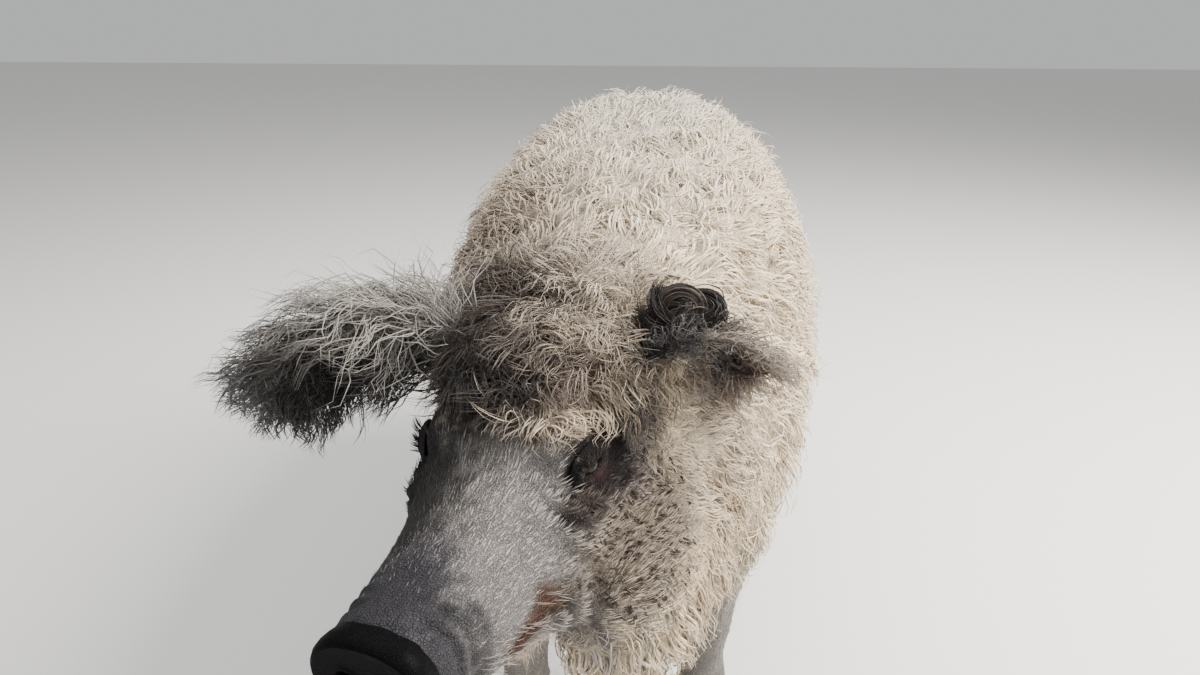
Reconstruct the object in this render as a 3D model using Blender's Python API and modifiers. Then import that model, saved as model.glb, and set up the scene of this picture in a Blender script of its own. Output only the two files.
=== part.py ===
"""A mangalica pig, standing with its head a little low and turned to its right, as a still life-size model.

Metres, +Z up. The pig faces -Y and its left side is +X. The trunk lies along Y, and the middle of the
box that holds the animal stands over the origin, with the soles on the floor.
"""
import math
import random

import bmesh
import bpy
import numpy as np
from mathutils import Matrix, Vector
from mathutils.bvhtree import BVHTree

# Driving sizes of the animal under its coat.
BACK_HEIGHT = 0.790
BELLY_HEIGHT = 0.262
TRUNK_HALF_WIDTH = 0.235
HEAD_PLACE = Vector((-0.030, -0.505, 0.575))
HEAD_TURN = math.radians(17)
HEAD_DROP = math.radians(10)
HEAD_ROLL = math.radians(3)

# Depth of the fleece's dense core over the skin, how far its clumps rise over the core, and the short coat
# of face and feet.
FLEECE_CORE = 0.018
CLUMP_RISE = 0.032
SHORT_COAT = 0.003

# Touching pieces keep this much clear of each other.
GAP = 0.0003

RING_SIDES = 28
STATION_STEPS = 4
VOXEL = 0.007
SMOOTH_ROUNDS = 10
CORE_TRIANGLES = 3200
RIGHT, BACK, UP = Vector((1, 0, 0)), Vector((0, 1, 0)), Vector((0, 0, 1))


def head_axes():
    """Forward, left and up of the head, from its turn, drop and roll."""
    forward = Vector((
        -math.cos(HEAD_DROP) * math.sin(HEAD_TURN),
        -math.cos(HEAD_DROP) * math.cos(HEAD_TURN),
        -math.sin(HEAD_DROP),
    ))
    level_left = Vector((math.cos(HEAD_TURN), -math.sin(HEAD_TURN), 0))
    level_up = forward.cross(level_left)
    left = level_left * math.cos(HEAD_ROLL) + level_up * math.sin(HEAD_ROLL)
    return forward, left, forward.cross(left)


HEAD_FORWARD, HEAD_LEFT, HEAD_UP = head_axes()


def on_head(forward, left, up):
    """A point given in the head's own directions, measured from the middle of the poll."""
    return HEAD_PLACE + HEAD_FORWARD * forward + HEAD_LEFT * left + HEAD_UP * up


def in_head(point):
    """The same three measures of a point in space."""
    offset = point - HEAD_PLACE
    return offset.dot(HEAD_FORWARD), offset.dot(HEAD_LEFT), offset.dot(HEAD_UP)


def ring_points(centre, left, up, half_width, top, bottom, squareness=2.2, sides=RING_SIDES):
    """One section: a rounded outline whose upper and lower halves may differ in height."""
    points = []
    for i in range(sides):
        angle = 2 * math.pi * i / sides
        across = math.copysign(abs(math.cos(angle)) ** (2 / squareness), math.cos(angle))
        along = math.copysign(abs(math.sin(angle)) ** (2 / squareness), math.sin(angle))
        height = top if along > 0 else bottom
        points.append(centre + left * (half_width * across) + up * (height * along))
    return points


def smooth_rows(rows, steps=STATION_STEPS):
    """Catmull-Rom rows between the given ones, so that a few stations give a smooth body."""
    rows = np.array(rows, float)
    padded = np.vstack([2 * rows[0] - rows[1], rows, 2 * rows[-1] - rows[-2]])
    made = []
    for i in range(1, len(padded) - 2):
        a, b, c, d = padded[i - 1: i + 3]
        for step in range(steps):
            t = step / steps
            made.append(0.5 * (
                2 * b + (c - a) * t + (2 * a - 5 * b + 4 * c - d) * t ** 2
                + (3 * b - a - 3 * c + d) * t ** 3
            ))
    made.append(rows[-1])
    return made


def add_loft(bm, rings):
    """Joins rings of equal count into one closed surface in bm. A ring of one point is a tip."""
    made = [[bm.verts.new(p) for p in ring] for ring in rings]
    for first, second in zip(made, made[1:]):
        sides = max(len(first), len(second))
        for i in range(sides):
            j = (i + 1) % sides
            if len(second) == 1:
                bm.faces.new((first[i], first[j], second[0]))
            elif len(first) == 1:
                bm.faces.new((first[0], second[j], second[i]))
            else:
                bm.faces.new((first[i], first[j], second[j], second[i]))
    for end in (made[0], made[-1]):
        if len(end) > 1:
            bm.faces.new(end)


def add_ellipsoid(bm, centre, axes, radii, segments=24):
    """An ellipsoid with the given axes, for a mass of muscle or fat."""
    turn = Matrix((axes[0], axes[1], axes[2])).transposed().to_4x4()
    size = Matrix.Diagonal((radii[0], radii[1], radii[2], 1))
    bmesh.ops.create_uvsphere(
        bm, u_segments=segments, v_segments=segments * 2 // 3, radius=1,
        matrix=Matrix.Translation(centre) @ turn @ size,
    )


def new_object(name, bm):
    """Closes bm into an object whose faces point out."""
    bmesh.ops.recalc_face_normals(bm, faces=bm.faces)
    mesh = bpy.data.meshes.new(name)
    bm.to_mesh(mesh)
    bm.free()
    made = bpy.data.objects.new(name, mesh)
    bpy.context.scene.collection.objects.link(made)
    return made


def apply_modifiers(obj):
    """Turns what the modifiers make into the object's own mesh."""
    graph = bpy.context.evaluated_depsgraph_get()
    mesh = bpy.data.meshes.new_from_object(obj.evaluated_get(graph))
    obj.modifiers.clear()
    obj.data = mesh


def remove(obj):
    bpy.data.objects.remove(obj)


def copy_of(obj, name):
    made = bpy.data.objects.new(name, obj.data.copy())
    bpy.context.scene.collection.objects.link(made)
    return made


def islands(bm):
    """The separate surfaces of bm, each a list of faces."""
    left = set(bm.faces)
    found = []
    while left:
        start = left.pop()
        group, edge = [start], [start]
        while edge:
            face = edge.pop()
            for line in face.edges:
                for near in line.link_faces:
                    if near in left:
                        left.remove(near)
                        group.append(near)
                        edge.append(near)
        found.append(group)
    return found


def keep_largest(obj):
    """Drops every loose scrap, so that the node is one closed body."""
    bm = bmesh.new()
    bm.from_mesh(obj.data)
    groups = sorted(islands(bm), key=lambda faces: -sum(f.calc_area() for f in faces))
    loose = [face for group in groups[1:] for face in group]
    if loose:
        bmesh.ops.delete(bm, geom=loose, context="FACES")
        stray = [v for v in bm.verts if not v.link_faces]
        bmesh.ops.delete(bm, geom=stray, context="VERTS")
    bm.to_mesh(obj.data)
    bm.free()


# Trunk and neck stations from the buttocks to the poll: sideways, along Y, back, belly, half width, and
# how far the section has turned with the head.
SPINE = (
    (0.008, 0.600, 0.600, 0.520, 0.030, 0.0),
    (0.008, 0.575, 0.690, 0.430, 0.110, 0.0),
    (0.008, 0.500, 0.748, 0.352, 0.175, 0.0),
    (0.008, 0.370, 0.780, 0.305, 0.210, 0.0),
    (0.008, 0.180, BACK_HEIGHT, 0.275, 0.228, 0.0),
    (0.008, 0.000, 0.782, BELLY_HEIGHT, TRUNK_HALF_WIDTH, 0.0),
    (0.008, -0.170, 0.766, 0.272, 0.228, 0.0),
    (0.006, -0.300, 0.750, 0.298, 0.206, 0.05),
    (-0.002, -0.400, 0.733, 0.330, 0.176, 0.25),
    (-0.016, -0.475, 0.714, 0.368, 0.150, 0.6),
    (-0.036, -0.545, 0.692, 0.420, 0.124, 1.0),
    (-0.053, -0.610, 0.650, 0.470, 0.080, 1.0),
)
TRUNK_SQUARENESS = 2.35


def add_spine(bm, coat):
    rings = []
    for x, y, back, belly, half_width, turn in smooth_rows(SPINE):
        left = RIGHT.lerp(HEAD_LEFT, turn).normalized()
        up = UP.lerp(HEAD_UP, turn).normalized()
        height = (back - belly) / 2 + coat
        rings.append(ring_points(
            Vector((x, y, (back + belly) / 2)), left, up, half_width + coat, height, height,
            TRUNK_SQUARENESS,
        ))
    add_loft(bm, rings)


# Muscle masses of one side: sideways, along Y, height, and their half sizes.
MASSES = (
    ((0.120, -0.270, 0.500), (0.095, 0.150, 0.200)),
    ((0.118, 0.420, 0.500), (0.112, 0.160, 0.205)),
)


def add_masses(bm, coat):
    """Shoulders and hams on both sides."""
    for side in (-1, 1):
        for (x, y, z), radii in MASSES:
            add_ellipsoid(bm, Vector((side * x, y, z)), (RIGHT, BACK, UP), [r + coat for r in radii])


# Head stations from the neck to the snout: forward of the poll, upper profile, lower profile, half width,
# squareness of the section.
HEAD = (
    (-0.060, 0.090, -0.120, 0.090, 2.2),
    (0.000, 0.112, -0.158, 0.110, 2.3),
    (0.050, 0.107, -0.172, 0.112, 2.4),
    (0.100, 0.090, -0.165, 0.106, 2.7),
    (0.150, 0.069, -0.145, 0.091, 2.8),
    (0.200, 0.052, -0.122, 0.078, 2.5),
    (0.250, 0.043, -0.100, 0.066, 2.3),
    (0.300, 0.041, -0.082, 0.058, 2.2),
    (0.340, 0.041, -0.058, 0.050, 2.2),
    (0.366, 0.043, -0.046, 0.049, 2.2),
)


def add_head(bm, coat):
    rings = []
    for forward, top, bottom, half_width, squareness in smooth_rows(HEAD):
        height = (top - bottom) / 2 + coat
        rings.append(ring_points(
            on_head(forward, 0, (top + bottom) / 2), HEAD_LEFT, HEAD_UP, half_width + coat,
            height, height, squareness,
        ))
    add_loft(bm, rings)


# Face masses of one side, forward, left and up of the poll, and their half sizes: jowl, cheekbone, brow.
FACE_MASSES = (
    ((0.052, 0.074, -0.114), (0.128, 0.076, 0.106)),
    ((0.135, 0.066, -0.005), (0.070, 0.034, 0.038)),
    ((0.125, 0.056, 0.050), (0.048, 0.026, 0.026)),
)


def add_face_masses(bm, coat):
    """Jowls, cheekbones and brows on both sides of the head."""
    axes = (HEAD_FORWARD, HEAD_LEFT, HEAD_UP)
    for side in (-1, 1):
        for (forward, left, up), radii in FACE_MASSES:
            add_ellipsoid(bm, on_head(forward, side * left, up), axes, [r + coat for r in radii])


# Leg stations from inside the body to the foot: sideways, along Y, height, half width, half depth.
FORE_LEG = (
    (0.110, -0.270, 0.520, 0.060, 0.120),
    (0.130, -0.275, 0.430, 0.068, 0.112),
    (0.132, -0.290, 0.350, 0.060, 0.084),
    (0.128, -0.305, 0.270, 0.048, 0.060),
    (0.124, -0.315, 0.200, 0.037, 0.044),
    (0.122, -0.315, 0.170, 0.036, 0.042),
    (0.120, -0.312, 0.120, 0.030, 0.033),
    (0.120, -0.312, 0.090, 0.033, 0.037),
    (0.120, -0.325, 0.060, 0.036, 0.044),
    (0.120, -0.338, 0.020, 0.038, 0.050),
    (0.120, -0.340, 0.004, 0.038, 0.050),
)
HIND_LEG = (
    (0.105, 0.370, 0.560, 0.070, 0.140),
    (0.135, 0.370, 0.450, 0.080, 0.150),
    (0.142, 0.375, 0.370, 0.070, 0.120),
    (0.136, 0.400, 0.300, 0.053, 0.082),
    (0.128, 0.440, 0.240, 0.040, 0.054),
    (0.124, 0.458, 0.205, 0.035, 0.047),
    (0.120, 0.450, 0.150, 0.030, 0.035),
    (0.118, 0.440, 0.100, 0.032, 0.037),
    (0.118, 0.425, 0.062, 0.035, 0.044),
    (0.118, 0.412, 0.020, 0.038, 0.050),
    (0.118, 0.410, 0.004, 0.038, 0.050),
)
# Name, stations, side of the body, how far the foot is carried back.
LEGS = (
    ("front_left", FORE_LEG, 1, 0.020),
    ("front_right", FORE_LEG, -1, -0.035),
    ("hind_left", HIND_LEG, 1, -0.035),
    ("hind_right", HIND_LEG, -1, 0.030),
)
SWING_FROM, SWING_LENGTH = 0.45, 0.43


def swung(y, z, step):
    """Place along Y of a leg's point, once its foot is carried back by step."""
    return y + step * min(1, max(0, (SWING_FROM - z) / SWING_LENGTH))


def add_leg(bm, stations, side, step, coat_high, coat_low):
    rings = []
    for x, y, z, half_width, half_depth in smooth_rows(stations):
        coat = coat_low + (coat_high - coat_low) * min(1, max(0, (z - 0.22) / 0.15))
        rings.append(ring_points(
            Vector((side * x, swung(y, z, step), z)), RIGHT, BACK, half_width + coat,
            half_depth + coat, half_depth + coat, 2.1,
        ))
    add_loft(bm, rings)


def fused_body(name, fleece, short, voxel, smooth_rounds):
    """The whole animal without ears, tail and claws, fused into one smooth surface."""
    bm = bmesh.new()
    add_spine(bm, fleece)
    add_masses(bm, fleece)
    add_head(bm, short)
    add_face_masses(bm, short)
    for _, stations, side, step in LEGS:
        add_leg(bm, stations, side, step, fleece, short)
    body = new_object(name, bm)
    fuse = body.modifiers.new("fuse", "REMESH")
    fuse.mode = "VOXEL"
    fuse.voxel_size = voxel
    soften = body.modifiers.new("soften", "SMOOTH")
    soften.factor = 0.5
    soften.iterations = smooth_rounds
    apply_modifiers(body)
    return body


def thin_out(body, triangles):
    """Fewer triangles, kept longest where the form bends most."""
    thin = body.modifiers.new("thin", "DECIMATE")
    thin.ratio = triangles / (2 * len(body.data.polygons))
    thin.use_collapse_triangulate = True
    apply_modifiers(body)


def surface_of(body):
    """The surface of body, ready for points to be dropped on it."""
    return BVHTree.FromPolygons(
        [v.co for v in body.data.vertices], [tuple(p.vertices) for p in body.data.polygons]
    )


def fuse(body, pieces):
    """Joins body with all the pieces in one union. The pieces are then removed."""
    group = bpy.data.collections.new("pieces")
    for piece in pieces:
        group.objects.link(piece)
    modifier = body.modifiers.new("fuse", "BOOLEAN")
    modifier.operation = "UNION"
    modifier.operand_type = "COLLECTION"
    modifier.collection = group
    modifier.solver = "EXACT"
    apply_modifiers(body)
    for piece in pieces:
        remove(piece)
    bpy.data.collections.remove(group)


def cut_away(body, cutters):
    """Takes all the cutters out of body at once. The cutters are then removed."""
    group = bpy.data.collections.new("cutters")
    for cutter in cutters:
        group.objects.link(cutter)
    modifier = body.modifiers.new("cut", "BOOLEAN")
    modifier.operation = "DIFFERENCE"
    modifier.operand_type = "COLLECTION"
    modifier.collection = group
    modifier.solver = "EXACT"
    apply_modifiers(body)
    for cutter in cutters:
        remove(cutter)
    bpy.data.collections.remove(group)


# The eyes: forward and up of the poll, the ball, how deep its middle lies, and the lids over it.
EYE_FORWARD, EYE_UP = 0.146, 0.040
EYE_RADIUS = 0.0125
EYE_SUNK = 0.0085
LID_SIZE = (0.0215, 0.0165, 0.0158)
LID_OPENING = (0.0118, 0.0056)
LID_TILT = math.radians(-14)


def eye_place(skin, side):
    """Middle of an eyeball, with the directions along the lids, across them and outwards."""
    start = on_head(EYE_FORWARD, side * 0.4, EYE_UP)
    hit, normal, _, _ = skin.ray_cast(start, -side * HEAD_LEFT)
    outward = (normal * 0.6 + side * HEAD_LEFT * 0.8 + HEAD_FORWARD * 0.35).normalized()
    along = (HEAD_FORWARD * math.cos(LID_TILT) + HEAD_UP * math.sin(LID_TILT))
    along = (along - outward * along.dot(outward)).normalized()
    across = outward.cross(along)
    return hit - outward * EYE_SUNK, along, across, outward


def eyeball(name, place, radius):
    middle, along, across, outward = place
    bm = bmesh.new()
    add_ellipsoid(bm, middle, (along, across, outward), (radius, radius, radius), 12)
    return new_object(name, bm)


def lid_mass(place):
    middle, along, across, outward = place
    bm = bmesh.new()
    add_ellipsoid(bm, middle, (along, across, outward), LID_SIZE, 12)
    return new_object("lids", bm)


def lid_opening(place):
    """The almond between the lids, cut from inside the eye's hollow outwards."""
    middle, along, across, outward = place
    outline = []
    for i in range(12):
        angle = 2 * math.pi * i / 12
        outline.append((LID_OPENING[0] * math.cos(angle), LID_OPENING[1] * math.sin(angle) ** 3))
    outline = [(a, math.copysign(max(abs(c), 0.0004), c)) for a, c in outline]
    bm = bmesh.new()
    rings = []
    for out, spread in ((0.001, 0.9), (0.030, 1.35)):
        rings.append([
            middle + along * (a * spread) + across * (c * spread) + outward * out for a, c in outline
        ])
    add_loft(bm, rings)
    return new_object("opening", bm)


# The line of the mouth, forward and up of the poll, and the cut that goes on behind its corner.
MOUTH_LINE = ((0.346, -0.049), (0.300, -0.046), (0.255, -0.048), (0.216, -0.057))
BEHIND_MOUTH = ((0.200, -0.082), (0.190, -0.125), (0.186, -0.230))
LIP_RADIUS = 0.0052
LIP_OFFSET = 0.0045
LIP_SUNK = 0.0022


def lip(skin, side, offset):
    """A lip: a rounded bead along the mouth's line, a little above or below it."""
    rings = []
    stations = smooth_rows(MOUTH_LINE, 2)
    for i, (forward, up) in enumerate(stations):
        start = on_head(forward, side * 0.3, up + offset)
        hit = skin.ray_cast(start, -side * HEAD_LEFT)[0]
        size = LIP_RADIUS * (0.45 if i in (0, len(stations) - 1) else 1)
        rings.append(ring_points(
            hit - side * HEAD_LEFT * LIP_SUNK, HEAD_LEFT, HEAD_UP, size, size, size, 2, 6
        ))
    bm = bmesh.new()
    add_loft(bm, rings)
    return new_object("lip", bm)


# The snout's disc: forward of the poll, half width, half height, for its back, rim and sunken front.
SNOUT_CUT = 0.352
DISC_UP = -0.003
DISC = (
    (SNOUT_CUT + GAP, 0.0475, 0.0430),
    (0.362, 0.0500, 0.0445),
    (0.374, 0.0525, 0.0465),
    (0.383, 0.0505, 0.0445),
    (0.385, 0.0460, 0.0400),
    (0.383, 0.0390, 0.0335),
)
NOSTRIL_APART = 0.0185
NOSTRIL_SIZE = (0.022, 0.0078, 0.0100)
NOSTRIL_TILT = math.radians(18)


def snout_disc():
    """The round plate of gristle that ends the snout, with its raised rim and two nostrils."""
    bm = bmesh.new()
    rings = [
        ring_points(on_head(forward, 0, DISC_UP), HEAD_LEFT, HEAD_UP, wide, high, high * 0.95, 2.3, 18)
        for forward, wide, high in DISC
    ]
    add_loft(bm, rings)
    disc = new_object("snout_disc", bm)
    nostrils = []
    for side in (-1, 1):
        turn = side * NOSTRIL_TILT
        left = HEAD_LEFT * math.cos(turn) + HEAD_UP * math.sin(turn)
        bm = bmesh.new()
        add_ellipsoid(
            bm, on_head(0.386, side * NOSTRIL_APART, DISC_UP + 0.001),
            (HEAD_FORWARD, left, HEAD_FORWARD.cross(left)), NOSTRIL_SIZE, 10,
        )
        nostrils.append(new_object("nostril", bm))
    cut_away(disc, nostrils)
    return disc


def lock(root, along, flat, length, width, thickness, bend, rings=3, rise=0.0):
    """A flat lock of hair that tapers to its tip. It bends by an angle in its own plane, and rises by one."""
    across = flat.cross(along).normalized()
    step = length / rings
    place = root.copy()
    heading = along.normalized()
    made = []
    for i in range(rings):
        part = i / rings
        swell = math.sin(math.pi * min(1, 0.30 + 0.70 * part)) ** 0.6
        made.append(ring_points(
            place, across, flat, width / 2 * max(0.30, swell), thickness / 2 * (1 - 0.55 * part),
            thickness / 2 * (1 - 0.55 * part), 2, 4,
        ))
        turn = Matrix.Rotation(bend / rings, 3, flat) @ Matrix.Rotation(rise / rings, 3, across)
        heading = turn @ heading
        across = turn @ across
        flat = turn @ flat
        place = place + heading * step
    made.append([place])
    bm = bmesh.new()
    add_loft(bm, made)
    return new_object("lock", bm)


# An ear from its root to its tip: radius of the rolled gristle, and the angle it wraps to each side.
EAR_SHAPE = ((0.024, 128), (0.031, 104), (0.056, 64), (0.064, 54), (0.050, 34))
EAR_THICKNESS = 0.0055
EAR_ACROSS = 6
EAR_STEPS = 2
# Each ear's path from root to tip, forward, outward and up of the poll, and where its hollow faces. The right
# ear is flung out sideways with its tip hanging. The left one is swept back.
EAR_PATHS = {
    "right": (
        ((0.012, 0.064, 0.078), (0.018, 0.122, 0.106), (0.046, 0.190, 0.112), (0.088, 0.248, 0.082),
         (0.128, 0.282, 0.036)),
        (0.80, 0.10, -0.55),
    ),
    "left": (
        ((0.012, 0.064, 0.078), (0.008, 0.106, 0.108), (-0.004, 0.144, 0.122), (-0.022, 0.176, 0.116),
         (-0.036, 0.198, 0.092)),
        (0.75, 0.25, -0.60),
    ),
}
SIDES = {"right": -1, "left": 1}


def ear_stations(side_name):
    """Sections of an ear: middle, ways along, up across and into the hollow, radius and angle of the wrap."""
    path, facing = EAR_PATHS[side_name]
    side = SIDES[side_name]
    rows = smooth_rows([place + shape for place, shape in zip(path, EAR_SHAPE)], EAR_STEPS)
    middles = [on_head(row[0], side * row[1], row[2]) for row in rows]
    hollow = HEAD_FORWARD * facing[0] + HEAD_LEFT * (side * facing[1]) + HEAD_UP * facing[2]
    stations = []
    for i, row in enumerate(rows):
        ahead = middles[min(i + 1, len(rows) - 1)] - middles[max(i - 1, 0)]
        along = ahead.normalized()
        inward = (hollow - along * hollow.dot(along)).normalized()
        across = along.cross(inward) * -side
        stations.append((middles[i], along, across, inward, row[3], math.radians(row[4])))
    return stations


def ear_point(station, part):
    """A point of the ear's middle surface, part running from -1 at one edge to 1 at the other."""
    middle, _, across, inward, radius, wrap = station
    angle = wrap * part
    return middle + across * (radius * math.sin(angle)) + inward * (radius * (1 - math.cos(angle)))


def ear_shell(side_name):
    """The ear's gristle: a leaf rolled to a funnel at its root."""
    stations = ear_stations(side_name)
    bm = bmesh.new()
    grid = []
    for station in stations:
        grid.append([
            bm.verts.new(ear_point(station, 2 * i / EAR_ACROSS - 1)) for i in range(EAR_ACROSS + 1)
        ])
    for row, after in zip(grid, grid[1:]):
        for i in range(EAR_ACROSS):
            bm.faces.new((row[i], row[i + 1], after[i + 1]))
            bm.faces.new((row[i], after[i + 1], after[i]))
    mesh = bpy.data.meshes.new("ear")
    bm.to_mesh(mesh)
    bm.free()
    ear = bpy.data.objects.new("ear_" + side_name, mesh)
    bpy.context.scene.collection.objects.link(ear)
    wall = ear.modifiers.new("wall", "SOLIDIFY")
    wall.thickness = EAR_THICKNESS
    wall.offset = 0
    wall.use_even_offset = True
    apply_modifiers(ear)
    bm = bmesh.new()
    bm.from_mesh(ear.data)
    bmesh.ops.recalc_face_normals(bm, faces=bm.faces)
    bm.to_mesh(ear.data)
    bm.free()
    return ear


# Locks of an ear: how far across, 1 being the upper edge, how far along, then how much each heads along the
# ear, up across it and away from its hollow, its length, width and bend.
EAR_LOCKS = (
    (0.80, 0.25, (0.10, 1.00, 0.45), 0.078, 0.044, 0.5),
    (0.86, 0.37, (0.25, 1.00, 0.40), 0.082, 0.046, 0.5),
    (0.90, 0.50, (0.40, 1.00, 0.30), 0.074, 0.044, 0.5),
    (0.94, 0.63, (0.60, 1.00, 0.20), 0.062, 0.040, 0.4),
    (0.94, 0.75, (0.80, 0.80, 0.10), 0.054, 0.038, 0.4),
    (0.90, 0.88, (1.00, 0.50, 0.00), 0.048, 0.036, 0.3),
    (0.00, 1.00, (1.00, 0.00, 0.00), 0.046, 0.036, 0.3),
    (-0.90, 0.88, (1.00, -0.60, 0.00), 0.042, 0.034, -0.3),
    (-0.94, 0.75, (0.70, -1.00, 0.10), 0.040, 0.034, -0.4),
    (-0.94, 0.63, (0.50, -1.00, 0.10), 0.040, 0.036, -0.4),
    (-0.94, 0.50, (0.30, -1.00, 0.15), 0.042, 0.036, -0.4),
)
# One long lock of the left ear coils up: length, width, thickness, bend and rings.
COILED_EAR = "left"
COILED_LOCK = (0.125, 0.026, 0.016, -4.4, 7)
LOCK_THICKNESS = 0.0046
LOCK_SUNK = 0.010


def ear_locks(side_name):
    """Hair that stands out along the ear's upper edge, round its tip and, shorter, along its lower edge."""
    stations = ear_stations(side_name)
    made = []
    for edge, part, heads, length, width, bend in EAR_LOCKS:
        station = stations[round(part * (len(stations) - 1))]
        _, along, across, inward, _, _ = station
        root = ear_point(station, edge)
        heading = (along * heads[0] + across * heads[1] - inward * heads[2]).normalized()
        flat = (inward - heading * inward.dot(heading)).normalized()
        made.append(lock(
            root - heading * LOCK_SUNK, heading, flat, length + LOCK_SUNK, width, LOCK_THICKNESS,
            bend * -SIDES[side_name],
        ))
    if side_name == COILED_EAR:
        _, along, across, inward, _, _ = stations[len(stations) // 2]
        root = ear_point(stations[len(stations) // 2], 0.9)
        made.append(lock(root - across * LOCK_SUNK, across, inward, *COILED_LOCK))
    return made


# Rings of one curl of the fleece: how far along and how high its middle, its width and its depth. Its root and
# its tip are points.
CLUMP_ROOT, CLUMP_TIP = (-0.52, -0.30), (0.56, 0.20)
CLUMP_RINGS = ((-0.18, 0.18, 1.00, 0.76), (0.24, 0.26, 0.88, 0.68))
CLUMP_SIDES = 6
FLEECE_SEED = 11
FLEECE_CURLS = 96
FLEECE_SAMPLES = 5200
FLEECE_ROUNDS = 14
# Width, length and rise of the curls of each region.
TRUNK_CURL = (0.137, 0.172, CLUMP_RISE)
NECK_CURL = (0.105, 0.139, 0.026)
JOWL_CURL = (0.103, 0.125, 0.016)
POLL_CURL = (0.076, 0.104, 0.022)
# The coat is short under this height, round the tail's root and round the root of each ear.
SHORT_BELOW = 0.335
TAIL_ROOT, TAIL_CLEAR = Vector((0.008, 0.600, 0.640)), 0.085
EAR_ROOT, EAR_CLEAR = (0.015, 0.085, 0.090), 0.058
# The regions end here, forward of the poll, with the poll's half width and how it narrows forward. The
# neck's finer curls grow above and ahead of the next two.
FACE_STARTS, JOWLS_END, POLL_ENDS = -0.02, 0.045, 0.105
POLL_HALF_WIDTH, POLL_NARROWS, POLL_ABOVE = 0.085, 0.35, 0.055
NECK_ABOVE, NECK_AHEAD = 0.60, -0.42


def clump(root, normal, lie, width, length, rise, curl, grow=0.0):
    """One curl of the fleece: a rounded lobe that leans along the lie, with its root sunk in the core."""
    across = normal.cross(lie).normalized()

    def middle(along, height):
        return root + lie * (along * length) + normal * (height * rise) + across * (
            curl * length * along * abs(along)
        )

    rings = [[middle(*CLUMP_ROOT) - lie * grow]]
    for along, height, wide, deep in CLUMP_RINGS:
        rings.append(ring_points(
            middle(along, height), across, normal, width / 2 * wide + grow, rise * deep + grow,
            rise * deep + grow, 2, CLUMP_SIDES,
        ))
    rings.append([middle(*CLUMP_TIP) + lie * grow])
    bm = bmesh.new()
    add_loft(bm, rings)
    return new_object("clump", bm)


def fleece_at(point, normal):
    """Width, length and rise of the curls at a place, or nothing where the coat is short."""
    forward, left, up = in_head(point)
    if (point - TAIL_ROOT).length < TAIL_CLEAR or point.z < SHORT_BELOW:
        return None
    for side in (-1, 1):
        if (point - on_head(EAR_ROOT[0], side * EAR_ROOT[1], EAR_ROOT[2])).length < EAR_CLEAR:
            return None
    if forward > FACE_STARTS:
        on_poll = up > POLL_ABOVE and forward < POLL_ENDS
        if on_poll and abs(left) < POLL_HALF_WIDTH - POLL_NARROWS * forward:
            return POLL_CURL
        if forward < JOWLS_END and up < FACE_STARTS and normal.dot(HEAD_FORWARD) < 0.5:
            return JOWL_CURL
        return None
    if point.z > NECK_ABOVE and point.y < NECK_AHEAD:
        return NECK_CURL
    return TRUNK_CURL


def lie_at(point, normal):
    """Which way the coat lies: back along the back, down and back on the sides, forward over the poll."""
    forward, left, up = in_head(point)
    if forward > -0.05 and up > 0.05:
        way = HEAD_FORWARD - HEAD_UP * 0.3 + HEAD_LEFT * (2.5 * left)
    else:
        way = BACK * (0.35 + 0.65 * abs(normal.z)) - UP * (1 - abs(normal.z))
    return (way - normal * way.dot(normal)).normalized()


def coat_samples(body, draw):
    """Random places on the coated skin, closer together where the curls are small."""
    faces = list(body.data.polygons)
    areas = np.cumsum([p.area for p in faces])
    points = [v.co for v in body.data.vertices]
    found = []
    while len(found) < FLEECE_SAMPLES:
        face = faces[int(np.searchsorted(areas, draw.random() * areas[-1]))]
        a, b = sorted((draw.random(), draw.random()))
        corners = [points[i] for i in face.vertices[:3]]
        place = corners[0] * a + corners[1] * (b - a) + corners[2] * (1 - b)
        size = fleece_at(place, face.normal)
        if size and draw.random() < (POLL_CURL[0] / size[0]) ** 2:
            found.append((place, face.normal.copy(), size))
    return found


def evenly(samples):
    """Picks places that share the samples out evenly between them."""
    places = np.array([place for place, _, _ in samples])
    middles = places[:FLEECE_CURLS].copy()
    for _ in range(FLEECE_ROUNDS):
        nearest = ((places[:, None] - middles[None]) ** 2).sum(axis=2).argmin(axis=1)
        middles = np.array([places[nearest == i].mean(axis=0) for i in range(FLEECE_CURLS)])
    chosen = ((places[:, None] - middles[None]) ** 2).sum(axis=2).argmin(axis=0)
    return [samples[i] for i in chosen]


def fleece_plan(body):
    """What each curl is made from, for curls set close over the trunk, neck, poll and jowls."""
    draw = random.Random(FLEECE_SEED)
    made = []
    for place, normal, (width, length, rise) in evenly(coat_samples(body, draw)):
        lie = Matrix.Rotation(draw.uniform(-0.5, 0.5), 3, normal) @ lie_at(place, normal)
        scale = draw.uniform(0.88, 1.14)
        curl = draw.choice((-1, 1)) * draw.uniform(0.25, 0.55)
        made.append((place, normal, lie, width * scale, length * scale, rise * scale, curl))
    return made


# A piece that meets the body is cut back from the body and its curls, both grown by these.
SKIN_GROWTH, CURL_GROWTH = 1.2 * GAP, 2.0 * GAP


def grown(body):
    """A copy of body with its surface pushed out a little."""
    made = copy_of(body, "around")
    normals = [v.normal.copy() for v in made.data.vertices]
    for vertex, normal in zip(made.data.vertices, normals):
        vertex.co += normal * SKIN_GROWTH
    return made


def fit_to_body(piece, body, curls, near, reach):
    """Cuts piece back from the body's surface and the curls within reach, and keeps what stands outside."""
    around = [grown(body)]
    around += [clump(*curl, grow=CURL_GROWTH) for curl in curls if (curl[0] - near).length < reach]
    cut_away(piece, around)
    keep_largest(piece)


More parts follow.
